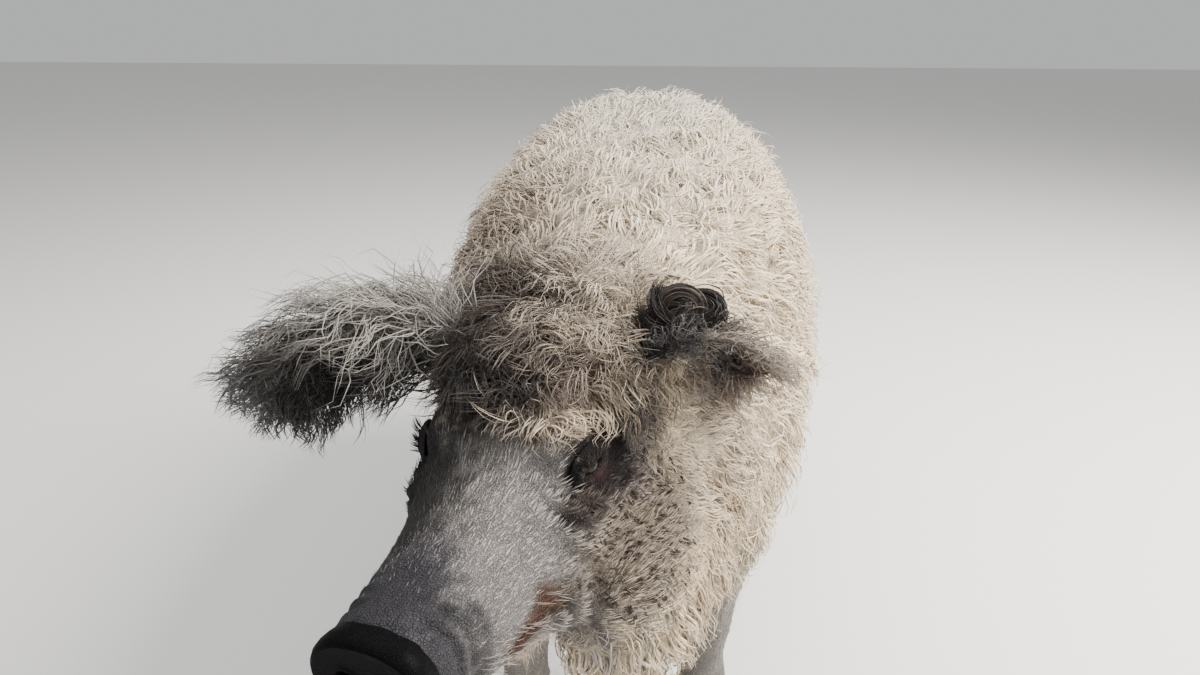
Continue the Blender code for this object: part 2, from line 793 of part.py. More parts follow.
def sheet(points, across):
    """A cut as thin as the gap between two pieces: a strip through points, as wide as across to each side."""
    bm = bmesh.new()
    rows = [[bm.verts.new(p + across * side) for side in (-1, 1)] for p in points]
    for row, after in zip(rows, rows[1:]):
        bm.faces.new((row[0], row[1], after[1], after[0]))
    mesh = bpy.data.meshes.new("sheet")
    bm.to_mesh(mesh)
    bm.free()
    made = bpy.data.objects.new("sheet", mesh)
    bpy.context.scene.collection.objects.link(made)
    wall = made.modifiers.new("wall", "SOLIDIFY")
    wall.thickness = GAP
    wall.offset = 0
    wall.use_even_offset = True
    apply_modifiers(made)
    bm = bmesh.new()
    bm.from_mesh(made.data)
    bmesh.ops.recalc_face_normals(bm, faces=bm.faces)
    bm.to_mesh(made.data)
    bm.free()
    return made


# The cut of a leg rises outwards from below the belly; its ends and reach, sideways, height and along Y.
LEG_CUT_INNER, LEG_CUT_OUTER = (0.048, 0.240), (0.235, 0.310)
LEG_CUT_REACH = 0.150
NECK_BASE = Vector((0.0, -0.400, 0.520))
NECK_BASE_NORMAL = Vector((-0.08, -1.0, 0.15))
HEAD_CUT = -0.035

# The coronet slopes from the toe's height to the heel's, over this reach ahead of and behind the foot's middle.
CORONET_TOE, CORONET_HEEL, CORONET_REACH = 0.050, 0.026, 0.050


def foot_middle(stations, side, step):
    x, y, z = stations[-1][:3]
    return side * x, swung(y, z, step)


def coronet(from_middle):
    """Height of the coronet at a distance behind the foot's middle."""
    return (CORONET_TOE + CORONET_HEEL) / 2 - from_middle * (
        (CORONET_TOE - CORONET_HEEL) / (2 * CORONET_REACH)
    )


def parting_sheets():
    """All the thin cuts that divide the body into its nodes."""
    made = []
    for name, stations, side, step in LEGS:
        middle = swung(stations[3][1], stations[3][2], step)
        inner, outer = LEG_CUT_INNER, LEG_CUT_OUTER
        made.append(sheet(
            [Vector((side * inner[0], middle, inner[1])), Vector((side * outer[0], middle, outer[1]))],
            BACK * LEG_CUT_REACH,
        ))
        x, y = foot_middle(stations, side, step)
        made.append(sheet(
            [Vector((x, y + d, coronet(d) + GAP / 2)) for d in (-0.085, 0.085)], RIGHT * 0.065
        ))
    normal = NECK_BASE_NORMAL.normalized()
    up = (UP - normal * UP.dot(normal)).normalized()
    made.append(sheet([NECK_BASE - up * 0.4, NECK_BASE + up * 0.4], normal.cross(up) * 0.4))
    made.append(sheet(
        [on_head(HEAD_CUT, 0, -0.32), on_head(HEAD_CUT, 0, 0.30)], HEAD_LEFT * 0.30
    ))
    made.append(sheet(
        [on_head(SNOUT_CUT + GAP / 2, 0, -0.12), on_head(SNOUT_CUT + GAP / 2, 0, 0.12)],
        HEAD_LEFT * 0.12,
    ))
    line = ((0.400, MOUTH_LINE[0][1]),) + MOUTH_LINE + BEHIND_MOUTH
    made.append(sheet([on_head(forward, 0, up) for forward, up in line], HEAD_LEFT * 0.22))
    return made


# A place well inside each node of the body, by which it is told from the others.
WITHIN = {
    "torso": Vector((0, 0.1, 0.52)),
    "neck": Vector((-0.02, -0.46, 0.53)),
    "head": on_head(0.10, 0, -0.03),
    "jaw": on_head(0.27, 0, -0.065),
}
for leg_name, leg_stations, leg_side, leg_step in LEGS:
    row = leg_stations[5]
    WITHIN["leg_" + leg_name] = Vector((leg_side * row[0], swung(row[1], row[2], leg_step), row[2]))


def part_body(body):
    """Cuts the body and makes each of its large pieces the node whose inner place is nearest."""
    cut_away(body, parting_sheets())
    bm = bmesh.new()
    bm.from_mesh(body.data)
    groups = sorted(islands(bm), key=lambda faces: -sum(f.calc_area() for f in faces))
    nodes = {}
    for group in groups[:len(WITHIN) + len(LEGS) + 1]:
        area = sum(f.calc_area() for f in group)
        middle = sum((f.calc_center_median() * f.calc_area() for f in group), Vector()) / area
        name = min(WITHIN, key=lambda key: (WITHIN[key] - middle).length)
        if name in nodes:
            continue
        piece = bmesh.new()
        index = {v: piece.verts.new(v.co) for v in {v for f in group for v in f.verts}}
        for face in group:
            piece.faces.new([index[v] for v in face.verts])
        nodes[name] = new_object(name, piece)
    bm.free()
    remove(body)
    return nodes


# A claw from its sole up: height, or nothing on the coronet, half width and half depth.
CLAW_RINGS = ((0.0, 0.0162, 0.0440), (0.010, 0.0182, 0.0470), (None, 0.0178, 0.0430))
CLAW_APART = 0.0192
CLAW_SIDES = 12


def claw(name, x, y):
    """One main claw, a horn shoe under one toe, flat below and sloping along the coronet above."""
    rings = []
    for height, half_width, half_depth in CLAW_RINGS:
        ring = ring_points(Vector((x, y, height or 0)), RIGHT, BACK, half_width, half_depth,
                           half_depth, 2.2, CLAW_SIDES)
        if height is None:
            for p in ring:
                p.z = coronet(p.y - y)
        rings.append(ring)
    bm = bmesh.new()
    add_loft(bm, rings)
    return new_object(name, bm)


# A dewclaw: how high on the pastern, how far to each side, and its rings, along and radius.
DEWCLAW_HEIGHT = 0.080
DEWCLAW_APART = 0.0175
DEWCLAW_RINGS = ((-0.010, 0.0080), (0.010, 0.0095), (0.024, 0.0068))
DEWCLAW_LENGTH = 0.030


def dewclaw(name, root, side):
    """The small spare claw behind the pastern, pointing back and down."""
    along = Vector((side * 0.15, 0.60, -0.78)).normalized()
    across = along.cross(RIGHT).normalized()
    rings = []
    for reach, radius in DEWCLAW_RINGS:
        rings.append(ring_points(root + along * reach, RIGHT, across, radius, radius, radius, 2, 7))
    rings.append([root + along * DEWCLAW_LENGTH])
    bm = bmesh.new()
    add_loft(bm, rings)
    return new_object(name, bm)


# The tail from inside the rump to its tip: sideways, back from the rump, height, radius.
TAIL = (
    (0.000, -0.030, 0.640, 0.0200),
    (0.000, 0.016, 0.642, 0.0185),
    (0.003, 0.046, 0.618, 0.0160),
    (0.008, 0.062, 0.570, 0.0135),
    (0.016, 0.060, 0.510, 0.0115),
    (0.010, 0.056, 0.450, 0.0095),
    (-0.006, 0.060, 0.400, 0.0075),
    (-0.012, 0.066, 0.370, 0.0050),
)
TAIL_SIDES = 8
# Locks of the tail's tuft: the way round the tail, its station counted from the tip, how far it spreads and
# its length.
TAIL_LOCKS = (
    (0.20, 1, 0.42, 0.100),
    (1.35, 3, 0.30, 0.112),
    (2.25, 2, 0.50, 0.092),
    (3.40, 4, 0.36, 0.108),
    (4.45, 1, 0.28, 0.096),
    (5.30, 3, 0.46, 0.104),
)
TAIL_LOCK_SIZE = (0.036, 0.011)


def tail_shape(rump):
    rows = smooth_rows(TAIL, 2)
    middles = [Vector((TAIL_ROOT.x + row[0], rump + row[1], row[2])) for row in rows]
    rings = []
    for i, row in enumerate(rows):
        along = (middles[min(i + 1, len(rows) - 1)] - middles[max(i - 1, 0)]).normalized()
        across = along.cross(RIGHT).normalized()
        rings.append(ring_points(middles[i], RIGHT, across, row[3], row[3], row[3], 2, TAIL_SIDES))
    bm = bmesh.new()
    add_loft(bm, rings)
    return new_object("tail", bm)


def tail_locks(rump):
    """The tuft: locks round the lower third of the tail, hanging past its tip."""
    rows = smooth_rows(TAIL, 2)
    made = []
    for angle, back, spread, length in TAIL_LOCKS:
        row = rows[-1 - back]
        out = RIGHT * math.cos(angle) + BACK * math.sin(angle)
        root = Vector((TAIL_ROOT.x + row[0], rump + row[1], row[2])) + out * (row[3] * 0.3)
        heading = (out * spread - UP).normalized()
        flat = (out - heading * out.dot(heading)).normalized()
        made.append(lock(root, heading, flat, length, *TAIL_LOCK_SIZE, 0.5 if back % 2 else -0.4, 3, 0.35))
    return made


# Colour and roughness of each kind of surface.
FINISHES = {
    "fleece": ((0.68, 0.61, 0.50), 0.90),
    "short_coat": ((0.50, 0.48, 0.46), 0.85),
    "ear_hair": ((0.36, 0.32, 0.28), 0.88),
    "disc_skin": ((0.030, 0.030, 0.034), 0.45),
    "horn": ((0.075, 0.065, 0.058), 0.50),
    "eye": ((0.030, 0.018, 0.012), 0.12),
    "tuft": ((0.060, 0.050, 0.045), 0.85),
}


def finish_of(name):
    if name in ("torso", "neck"):
        return "fleece"
    if name.startswith("ear_"):
        return "ear_hair"
    if name.startswith("eye_"):
        return "eye"
    if "claw" in name:
        return "horn"
    return {"snout_disc": "disc_skin", "tail": "tuft"}.get(name, "short_coat")


def materials():
    made = {}
    for name, (colour, roughness) in FINISHES.items():
        material = bpy.data.materials.new(name)
        material.use_nodes = True
        shader = material.node_tree.nodes["Principled BSDF"]
        shader.inputs["Base Color"].default_value = (*colour, 1)
        shader.inputs["Roughness"].default_value = roughness
        shader.inputs["Metallic"].default_value = 0
        material.diffuse_color = (*colour, 1)
        made[name] = material
    return made


def gather(nodes):
    """Puts every node in one collection, under one empty that stands the animal over the origin."""
    group = bpy.data.collections.new("mangalica_pig")
    bpy.context.scene.collection.children.link(group)
    pig = bpy.data.objects.new("pig", None)
    group.objects.link(pig)
    kinds = materials()
    corners = []
    for node in nodes:
        bpy.context.scene.collection.objects.unlink(node)
        group.objects.link(node)
        node.parent = pig
        node.data.materials.clear()
        node.data.materials.append(kinds[finish_of(node.name)])
        node.data.shade_smooth()
        node.data.set_sharp_from_angle(angle=math.radians(40))
        corners += [v.co for v in node.data.vertices]
    corners = np.array(corners)
    low, high = corners.min(axis=0), corners.max(axis=0)
    pig.location = (-(low[0] + high[0]) / 2, -(low[1] + high[1]) / 2, -low[2])


for old in list(bpy.data.objects):
    remove(old)
core = fused_body("body", FLEECE_CORE, SHORT_COAT, VOXEL, SMOOTH_ROUNDS)
thin_out(core, CORE_TRIANGLES)
skin = surface_of(core)
eyes = {name: eye_place(skin, side) for name, side in SIDES.items()}
rump = skin.ray_cast(TAIL_ROOT + BACK * 0.3, -BACK)[0].y

curls = fleece_plan(core)
bare = copy_of(core, "bare")

added = [lid_mass(place) for place in eyes.values()]
added += [lip(skin, side, offset) for side in SIDES.values() for offset in (-LIP_OFFSET, LIP_OFFSET)]
added += [clump(*curl) for curl in curls]
fuse(core, added)
nodes = part_body(core)

nodes["snout_disc"] = snout_disc()
for name, side in SIDES.items():
    ear = ear_shell(name)
    fuse(ear, ear_locks(name))
    fit_to_body(ear, bare, curls, on_head(0, side * 0.12, 0.10), 0.22)
    nodes["ear_" + name] = ear
    nodes["eye_" + name] = eyeball("eye_" + name, eyes[name], EYE_RADIUS)
hollows = [eyeball("hollow", place, EYE_RADIUS + GAP) for place in eyes.values()]
cut_away(nodes["head"], hollows + [lid_opening(place) for place in eyes.values()])

tail = tail_shape(rump)
fit_to_body(tail, bare, curls, TAIL_ROOT, 0.40)
fuse(tail, tail_locks(rump))
nodes["tail"] = tail

for leg_name, stations, side, step in LEGS:
    x, y = foot_middle(stations, side, step)
    for toe, toe_name in ((-side, "inner"), (side, "outer")):
        name = leg_name + "_" + toe_name
        nodes["claw_" + name] = claw("claw_" + name, x + toe * CLAW_APART, y)
        start = Vector((x + toe * DEWCLAW_APART, y + 0.12, DEWCLAW_HEIGHT))
        spare = dewclaw("dewclaw_" + name, skin.ray_cast(start, -BACK)[0], toe)
        fit_to_body(spare, bare, [], start, 0)
        nodes["dewclaw_" + name] = spare
remove(bare)
for node in nodes.values():
    keep_largest(node)
gather(nodes.values())
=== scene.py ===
"""A mangalica pig as a still, life-size model: one hide, horn, eyes, ears and a coat of curled wool."""
import math

import bmesh
import bpy
import numpy as np
from mathutils import Matrix, Vector
from mathutils.bvhtree import BVHTree
from mathutils.kdtree import KDTree


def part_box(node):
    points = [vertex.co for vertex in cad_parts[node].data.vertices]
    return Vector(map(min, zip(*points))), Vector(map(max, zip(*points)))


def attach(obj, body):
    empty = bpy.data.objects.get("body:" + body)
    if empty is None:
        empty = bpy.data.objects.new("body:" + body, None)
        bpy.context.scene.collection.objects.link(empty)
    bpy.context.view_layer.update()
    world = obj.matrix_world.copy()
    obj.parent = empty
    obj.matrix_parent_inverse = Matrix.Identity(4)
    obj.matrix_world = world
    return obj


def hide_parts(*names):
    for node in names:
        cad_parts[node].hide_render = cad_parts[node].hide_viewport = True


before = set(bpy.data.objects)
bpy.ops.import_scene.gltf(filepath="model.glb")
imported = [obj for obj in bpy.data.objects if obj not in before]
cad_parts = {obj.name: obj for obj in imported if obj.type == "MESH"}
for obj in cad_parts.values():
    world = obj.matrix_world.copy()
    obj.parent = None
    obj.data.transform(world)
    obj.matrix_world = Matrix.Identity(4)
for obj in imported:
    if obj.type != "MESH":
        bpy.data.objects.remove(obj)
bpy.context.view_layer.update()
RIGHT, BACK, UP = Vector((1, 0, 0)), Vector((0, 1, 0)), Vector((0, 0, 1))

# Where the pig stands. The sizes below are measured from a point on the floor under the shoulders, and the
# outer claw of the left fore foot, whose place in the pig is known, shows where that point lies in the frame.
OUTER_CLAW = Vector((0.1392, -0.320, 0.0))
claw_low, claw_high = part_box("claw_front_left_outer")
STAND = Vector(((claw_low.x + claw_high.x) / 2, (claw_low.y + claw_high.y) / 2, claw_low.z)) - OUTER_CLAW
STANDING = np.array(STAND)

# The head hangs a little and is turned to the pig's right. Everything on it is placed by its own forward,
# left and up, measured from the middle of the poll between the ears.
HEAD_PLACE = STAND + Vector((-0.030, -0.505, 0.575))
HEAD_TURN, HEAD_DROP, HEAD_ROLL = math.radians(17), math.radians(10), math.radians(3)
HEAD_FORWARD = Vector((
    -math.cos(HEAD_DROP) * math.sin(HEAD_TURN),
    -math.cos(HEAD_DROP) * math.cos(HEAD_TURN),
    -math.sin(HEAD_DROP),
))
level_left = Vector((math.cos(HEAD_TURN), -math.sin(HEAD_TURN), 0))
HEAD_LEFT = level_left * math.cos(HEAD_ROLL) + HEAD_FORWARD.cross(level_left) * math.sin(HEAD_ROLL)
HEAD_UP = HEAD_FORWARD.cross(HEAD_LEFT)
HEAD_WAYS = np.array((HEAD_FORWARD, HEAD_LEFT, HEAD_UP))
SIDES = {"right": -1, "left": 1}


def on_head(forward, left, up):
    return HEAD_PLACE + HEAD_FORWARD * forward + HEAD_LEFT * left + HEAD_UP * up


def head_measures(points):
    """Forward, left and up of the poll, for an array of points."""
    return (points - np.array(HEAD_PLACE)) @ HEAD_WAYS.T


# The hide: bare blue-grey skin over fat and muscle, from the snout to the rump and down to the coronets. It
# is lofted from a few stations, fused and softened in two closed skins, trunk with legs and head with neck.
# They overlap at the neck, and the head's is meshed more finely.
NECK_STATIONS, TRUNK_SQUARENESS, RING_SIDES = 4, 2.35, 28
# Height from which a leg bends towards its foot's place, and the length over which it does.
SWING_FROM, SWING_LENGTH = 0.45, 0.43
# Trunk and neck from rump to poll: left, back, height of the back and of the belly, half the width, and the
# share of the head's turn. The last stations, the neck's, are also part of the head's skin.
SPINE = (
    (0.008, 0.600, 0.600, 0.520, 0.030, 0.0),
    (0.008, 0.575, 0.690, 0.430, 0.110, 0.0),
    (0.008, 0.500, 0.748, 0.352, 0.175, 0.0),
    (0.008, 0.370, 0.780, 0.305, 0.210, 0.0),
    (0.008, 0.180, 0.790, 0.275, 0.228, 0.0),
    (0.008, 0.000, 0.782, 0.262, 0.235, 0.0),
    (0.008, -0.170, 0.766, 0.272, 0.228, 0.0),
    (0.006, -0.300, 0.750, 0.298, 0.206, 0.05),
    (-0.002, -0.400, 0.733, 0.330, 0.176, 0.25),
    (-0.016, -0.475, 0.714, 0.368, 0.150, 0.6),
    (-0.036, -0.545, 0.692, 0.420, 0.124, 1.0),
    (-0.053, -0.610, 0.650, 0.470, 0.080, 1.0),
)
# Shoulder and ham of the left side: middle and radii.
MASSES = (
    ((0.120, -0.270, 0.500), (0.095, 0.150, 0.200)),
    ((0.118, 0.420, 0.500), (0.112, 0.160, 0.205)),
)
# The head from poll to snout: forward, top, underside, half the width and squareness.
HEAD_STATIONS = (
    (-0.060, 0.090, -0.120, 0.090, 2.2),
    (0.000, 0.112, -0.158, 0.110, 2.3),
    (0.050, 0.107, -0.172, 0.112, 2.4),
    (0.100, 0.090, -0.165, 0.106, 2.7),
    (0.150, 0.069, -0.145, 0.091, 2.8),
    (0.200, 0.052, -0.122, 0.078, 2.5),
    (0.250, 0.043, -0.100, 0.066, 2.3),
    (0.300, 0.041, -0.082, 0.058, 2.2),
    (0.340, 0.041, -0.058, 0.050, 2.2),
    (0.366, 0.043, -0.046, 0.049, 2.2),
)
# Cheek with jowl, cheekbone and brow of the left side: middle and radii.
FACE_MASSES = (
    ((0.056, 0.074, -0.125), (0.131, 0.076, 0.110)),
    ((0.135, 0.066, -0.005), (0.070, 0.034, 0.038)),
    ((0.125, 0.056, 0.050), (0.048, 0.026, 0.026)),
)
# Left legs from the body down: left, back, height, half the width and half the depth.
FORE_LEG = (
    (0.110, -0.270, 0.520, 0.060, 0.120),
    (0.130, -0.275, 0.430, 0.068, 0.112),
    (0.132, -0.290, 0.350, 0.060, 0.084),
    (0.128, -0.305, 0.270, 0.048, 0.060),
    (0.124, -0.315, 0.200, 0.037, 0.044),
    (0.122, -0.315, 0.170, 0.036, 0.042),
    (0.120, -0.312, 0.120, 0.030, 0.033),
    (0.120, -0.312, 0.090, 0.033, 0.037),
    (0.120, -0.325, 0.060, 0.037, 0.045),
    (0.120, -0.336, 0.040, 0.039, 0.049),
    (0.120, -0.338, 0.028, 0.038, 0.048),
)
HIND_LEG = (
    (0.105, 0.370, 0.560, 0.070, 0.140),
    (0.135, 0.370, 0.450, 0.080, 0.150),
    (0.142, 0.375, 0.370, 0.070, 0.120),
    (0.136, 0.400, 0.300, 0.053, 0.082),
    (0.128, 0.440, 0.240, 0.040, 0.054),
    (0.124, 0.458, 0.205, 0.035, 0.047),
    (0.120, 0.450, 0.150, 0.030, 0.035),
    (0.118, 0.440, 0.100, 0.032, 0.037),
    (0.118, 0.425, 0.062, 0.036, 0.045),
    (0.118, 0.414, 0.040, 0.039, 0.049),
    (0.118, 0.412, 0.028, 0.038, 0.048),
)
# Each leg with its stations, its side and how far its foot is carried back.
LEGS = (
    ("front_left", FORE_LEG, 1, 0.020),
    ("front_right", FORE_LEG, -1, -0.035),
    ("hind_left", HIND_LEG, 1, -0.035),
    ("hind_right", HIND_LEG, -1, 0.030),
)


def oval(centre, left, up, half_width, top, bottom, squareness=2.2, sides=RING_SIDES):
    """One section of a body: a rounded outline whose upper and lower halves may differ in height."""
    points = []
    for i in range(sides):
        angle = 2 * math.pi * i / sides
        across = math.copysign(abs(math.cos(angle)) ** (2 / squareness), math.cos(angle))
        along = math.copysign(abs(math.sin(angle)) ** (2 / squareness), math.sin(angle))
        height = top if along > 0 else bottom
        points.append(centre + left * (half_width * across) + up * (height * along))
    return points


def between(rows, steps=4):
    """Rows that pass smoothly through the given ones."""
    rows = np.array(rows, float)
    padded = np.vstack([2 * rows[0] - rows[1], rows, 2 * rows[-1] - rows[-2]])
    made = []
    for i in range(1, len(padded) - 2):
        a, b, c, d = padded[i - 1: i + 3]
        for step in range(steps):
            t = step / steps
            made.append(0.5 * (
                2 * b + (c - a) * t + (2 * a - 5 * b + 4 * c - d) * t ** 2
                + (3 * b - a - 3 * c + d) * t ** 3
            ))
    made.append(rows[-1])
    return made


def loft(bm, rings, capped=True):
    """Joins rings of equal count into one surface, and closes its ends if capped. A ring of one point is a
    tip."""
    made = [[bm.verts.new(p) for p in ring] for ring in rings]
    for first, second in zip(made, made[1:]):
        sides = max(len(first), len(second))
        for i in range(sides):
            j = (i + 1) % sides
            if len(second) == 1:
                bm.faces.new((first[i], first[j], second[0]))
            elif len(first) == 1:
                bm.faces.new((first[0], second[j], second[i]))
            else:
                bm.faces.new((first[i], first[j], second[j], second[i]))
    for end in (made[0], made[-1]):
        if capped and len(end) > 1:
            bm.faces.new(end)


def mass(bm, centre, ways, radii, segments=32):
    """Adds an egg-shaped swelling whose three radii lie along the given ways."""
    turn = Matrix(ways).transposed().to_4x4()
    size = Matrix.Diagonal((*radii, 1))
    bmesh.ops.create_uvsphere(
        bm, u_segments=segments, v_segments=segments // 2, radius=1,
        matrix=Matrix.Translation(centre) @ turn @ size,
    )


def placed(name, data):
    """Puts an object with this mesh, light or camera in the scene."""
    made = bpy.data.objects.new(name, data)
    bpy.context.scene.collection.objects.link(made)
    return made


def piece_of(name, bm, smooth=True):
    """Turns bm into an object whose faces point outwards."""
    bmesh.ops.recalc_face_normals(bm, faces=bm.faces)
    mesh = bpy.data.meshes.new(name)
    bm.to_mesh(mesh)
    bm.free()
    mesh.polygons.foreach_set("use_smooth", [smooth] * len(mesh.polygons))
    return placed(name, mesh)


def settle(obj):
    """Makes what the modifiers give the object's own mesh."""
    graph = bpy.context.evaluated_depsgraph_get()
    mesh = bpy.data.meshes.new_from_object(obj.evaluated_get(graph))
    obj.modifiers.clear()
    obj.data = mesh


def spine_rings(stations):
    rings = []
    for x, y, back, belly, half_width, turn in between(stations):
        left = RIGHT.lerp(HEAD_LEFT, turn).normalized()
        up = UP.lerp(HEAD_UP, turn).normalized()
        height = (back - belly) / 2
        middle = STAND + Vector((x, y, (back + belly) / 2))
        rings.append(oval(middle, left, up, half_width, height, height, TRUNK_SQUARENESS))
    return rings


def head_rings():
    rings = []
    for forward, top, bottom, half_width, squareness in between(HEAD_STATIONS):
        height = (top - bottom) / 2
        rings.append(oval(
            on_head(forward, 0, (top + bottom) / 2), HEAD_LEFT, HEAD_UP, half_width, height, height,
            squareness,
        ))
    return rings


def swung(y, z, step):
    """Place along Y of a leg's point, once its foot is carried back by step."""
    return y + step * min(1, max(0, (SWING_FROM - z) / SWING_LENGTH))


def leg_rings(stations, side, step):
    rings = []
    for x, y, z, half_width, half_depth in between(stations):
        middle = STAND + Vector((side * x, swung(y, z, step), z))
        rings.append(oval(middle, RIGHT, BACK, half_width, half_depth, half_depth, 2.1))
    return rings


def fused(name, bm, voxel, rounds):
    """Melts the forms in bm into one skin with faces of about the voxel's size, and smooths it."""
    body = piece_of(name, bm)
    fuse = body.modifiers.new("fuse", "REMESH")
    fuse.mode = "VOXEL"
    fuse.voxel_size = voxel
    fuse.use_smooth_shade = True
    soften = body.modifiers.new("soften", "SMOOTH")
    soften.factor = 0.5
    soften.iterations = rounds
    settle(body)
    return body


bm = bmesh.new()
loft(bm, spine_rings(SPINE))
for side in SIDES.values():
    for (x, y, z), radii in MASSES:
        mass(bm, STAND + Vector((side * x, y, z)), (RIGHT, BACK, UP), radii)
for _, stations, side, step in LEGS:
    loft(bm, leg_rings(stations, side, step))
trunk = fused("trunk", bm, 0.0098, 6)

bm = bmesh.new()
loft(bm, spine_rings(SPINE[-NECK_STATIONS:]))
loft(bm, head_rings())
for side in SIDES.values():
    for (forward, left, up), radii in FACE_MASSES:
        mass(bm, on_head(forward, side * left, up), (HEAD_FORWARD, HEAD_LEFT, HEAD_UP), radii)
hide = fused("hide", bm, 0.0037, 33)


def rows_of(items, key):
    """Three numbers from each item of a mesh, as an array."""
    rows = np.empty(len(items) * 3, np.float32)
    items.foreach_get(key, rows)
    return rows.reshape(-1, 3).astype(float)


def points_of(obj):
    return rows_of(obj.data.vertices, "co")


def normals_of(obj):
    return rows_of(obj.data.vertex_normals, "vector")


def put_points(obj, points):
    obj.data.vertices.foreach_set("co", points.astype(np.float32).ravel())
    obj.data.update()


def surface_of(obj):
    return BVHTree.FromPolygons(
        [v.co for v in obj.data.vertices], [tuple(p.vertices) for p in obj.data.polygons]
    )


def rises(values, start, stretch):
    """A share that is 0 up to start and reaches 1 one stretch further on."""
    return np.clip((values - start) / stretch, 0, 1)


def falls(values, end, stretch):
    """A share that leaves 1 one stretch before end and is 0 from there on."""
    return np.clip((end - values) / stretch, 0, 1)


def eased(share):
    """The same share with soft ends."""
    return share * share * (3 - 2 * share)


# Folds of the face: the line of the mouth with a lip on each side, rings behind the disc, bags under the
# eyes, the crease behind the corner of the mouth and the ones that part cheek, jowl and neck. Each is drawn
# as a line in the side view of the head, with its depth and its width, and a swelling beside it.
FOLDS = (
    (((0.352, -0.049), (0.300, -0.046), (0.255, -0.048), (0.216, -0.057)), 0.0056, 0.0029, 0.0026),
    (((0.216, -0.057), (0.203, -0.074), (0.196, -0.100)), 0.0046, 0.0040, 0.0026),
    (((0.342, 0.036), (0.338, 0.010), (0.340, -0.030)), 0.0020, 0.0032, 0.0012),
    (((0.328, 0.038), (0.322, 0.012), (0.326, -0.020)), 0.0014, 0.0034, 0.0010),
    (((0.312, 0.030), (0.306, 0.012), (0.308, -0.010)), 0.0009, 0.0034, 0.0007),
    (((0.182, 0.036), (0.170, 0.010), (0.142, 0.004), (0.112, 0.012)), 0.0024, 0.0036, 0.0018),
    (((0.196, 0.028), (0.182, -0.006), (0.146, -0.014), (0.108, -0.004)), 0.0018, 0.0044, 0.0014),
    (((0.190, -0.030), (0.176, -0.052), (0.170, -0.092), (0.172, -0.130)), 0.0014, 0.0080, 0.0010),
    (((0.030, 0.040), (0.014, -0.020), (-0.004, -0.090), (0.010, -0.150)), 0.0030, 0.0120, 0.0020),
)
# Creases across the brow: how far forward each lies on the middle line, and its depth. They sweep back
# towards the sides, and only the top of the head has them.
BROW_FOLDS = ((0.168, 0.0010), (0.150, 0.0013), (0.132, 0.0011))
BROW_SWEEP, BROW_WIDTH, BROW_FROM, BROW_SOFT = 0.30, 0.0032, 0.045, 0.02


def line_distance(points, line):
    """Shortest distance of flat points to a line of short pieces."""
    nearest = np.full(len(points), 1.0)
    line = between(line, 3)
    for a, b in zip(line, line[1:]):
        t = np.clip(((points - a) @ (b - a)) / ((b - a) @ (b - a)), 0, 1)
        nearest = np.minimum(nearest, np.linalg.norm(points - a - t[:, None] * (b - a), axis=1))
    return nearest


points, normals = points_of(hide), normals_of(hide)
measures = head_measures(points)
on_side = np.clip(np.abs(normals @ HEAD_WAYS[1]) * 2.2 - 0.5, 0, 1)
on_brow = rises(measures[:, 2], BROW_FROM, BROW_SOFT)
push = np.zeros(len(points))
for line, depth, width, swell in FOLDS:
    away = line_distance(measures[:, [0, 2]], line)
    push -= on_side * depth * np.exp(-(away / width) ** 2)
    push += on_side * swell * np.exp(-((away - 2.2 * width) / (1.4 * width)) ** 2)
for forward, depth in BROW_FOLDS:
    bend = measures[:, 0] - forward + BROW_SWEEP * np.abs(measures[:, 1])
    push -= on_brow * depth * np.exp(-(bend / BROW_WIDTH) ** 2)
put_points(hide, points + normals * push[:, None])

# The eyes: a wet dark ball in a socket, between thick lids that are bare, wrinkled and dark. The ball is the
# frame's own, made round, and the socket and lids are built about its middle.
EYE_RADIUS = 0.0125
# How much of the skin's own facing, of sideways and of forwards there is in the way an eye looks.
EYE_FACING = (0.6, 0.8, 0.35)
SOCKET_REACH, SOCKET_SOFT, SOCKET_FLOOR, SOCKET_HEIGHT = 0.0175, 0.45, -0.0030, 0.03
# The slit between the lids: its half length and half height, the lower lid's share of that height, its tilt.
LID_OPENING, LOWER_LID, LID_TILT = (0.0108, 0.0036), 0.8, math.radians(-14)
LID_SIDES, LID_WALL = 44, 0.0012
# Rings of the lids outwards from their edge: how far out from the opening, as a share, and how high over the
# ball's middle.
LID_RINGS = (
    (0.00, 0.0115), (0.02, 0.0132), (0.08, 0.0142), (0.18, 0.0146), (0.30, 0.0138), (0.38, 0.0143),
    (0.52, 0.0130), (0.60, 0.0133), (0.74, 0.0112), (0.82, 0.0112), (1.00, 0.0065),
)
LID_REACH = (0.0245, 0.0190)
# How deep the lids' edge lies under the ball's face, the depth of their wrinkles, the upper lid's extra
# swelling, and how much the corners of the eye are drawn in.
EDGE_SINK, CRINKLE, UPPER_SWELL, CORNER_DIP = 0.0006, 0.0005, 0.0012, 0.0035

tree = surface_of(hide)
eyes = {}
for name, side in SIDES.items():
    low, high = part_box("eye_" + name)
    middle = (low + high) / 2
    _, normal, _, _ = tree.ray_cast(middle + HEAD_LEFT * (side * 0.2), HEAD_LEFT * -side)
    outward = normal * EYE_FACING[0] + HEAD_LEFT * (side * EYE_FACING[1]) + HEAD_FORWARD * EYE_FACING[2]
    outward.normalize()
    along = HEAD_FORWARD * math.cos(LID_TILT) + HEAD_UP * math.sin(LID_TILT)
    along = (along - outward * along.dot(outward)).normalized()
    across = outward.cross(along)
    if across.dot(HEAD_UP) < 0:
        across = -across
    eyes[name] = (middle, along, across, outward)

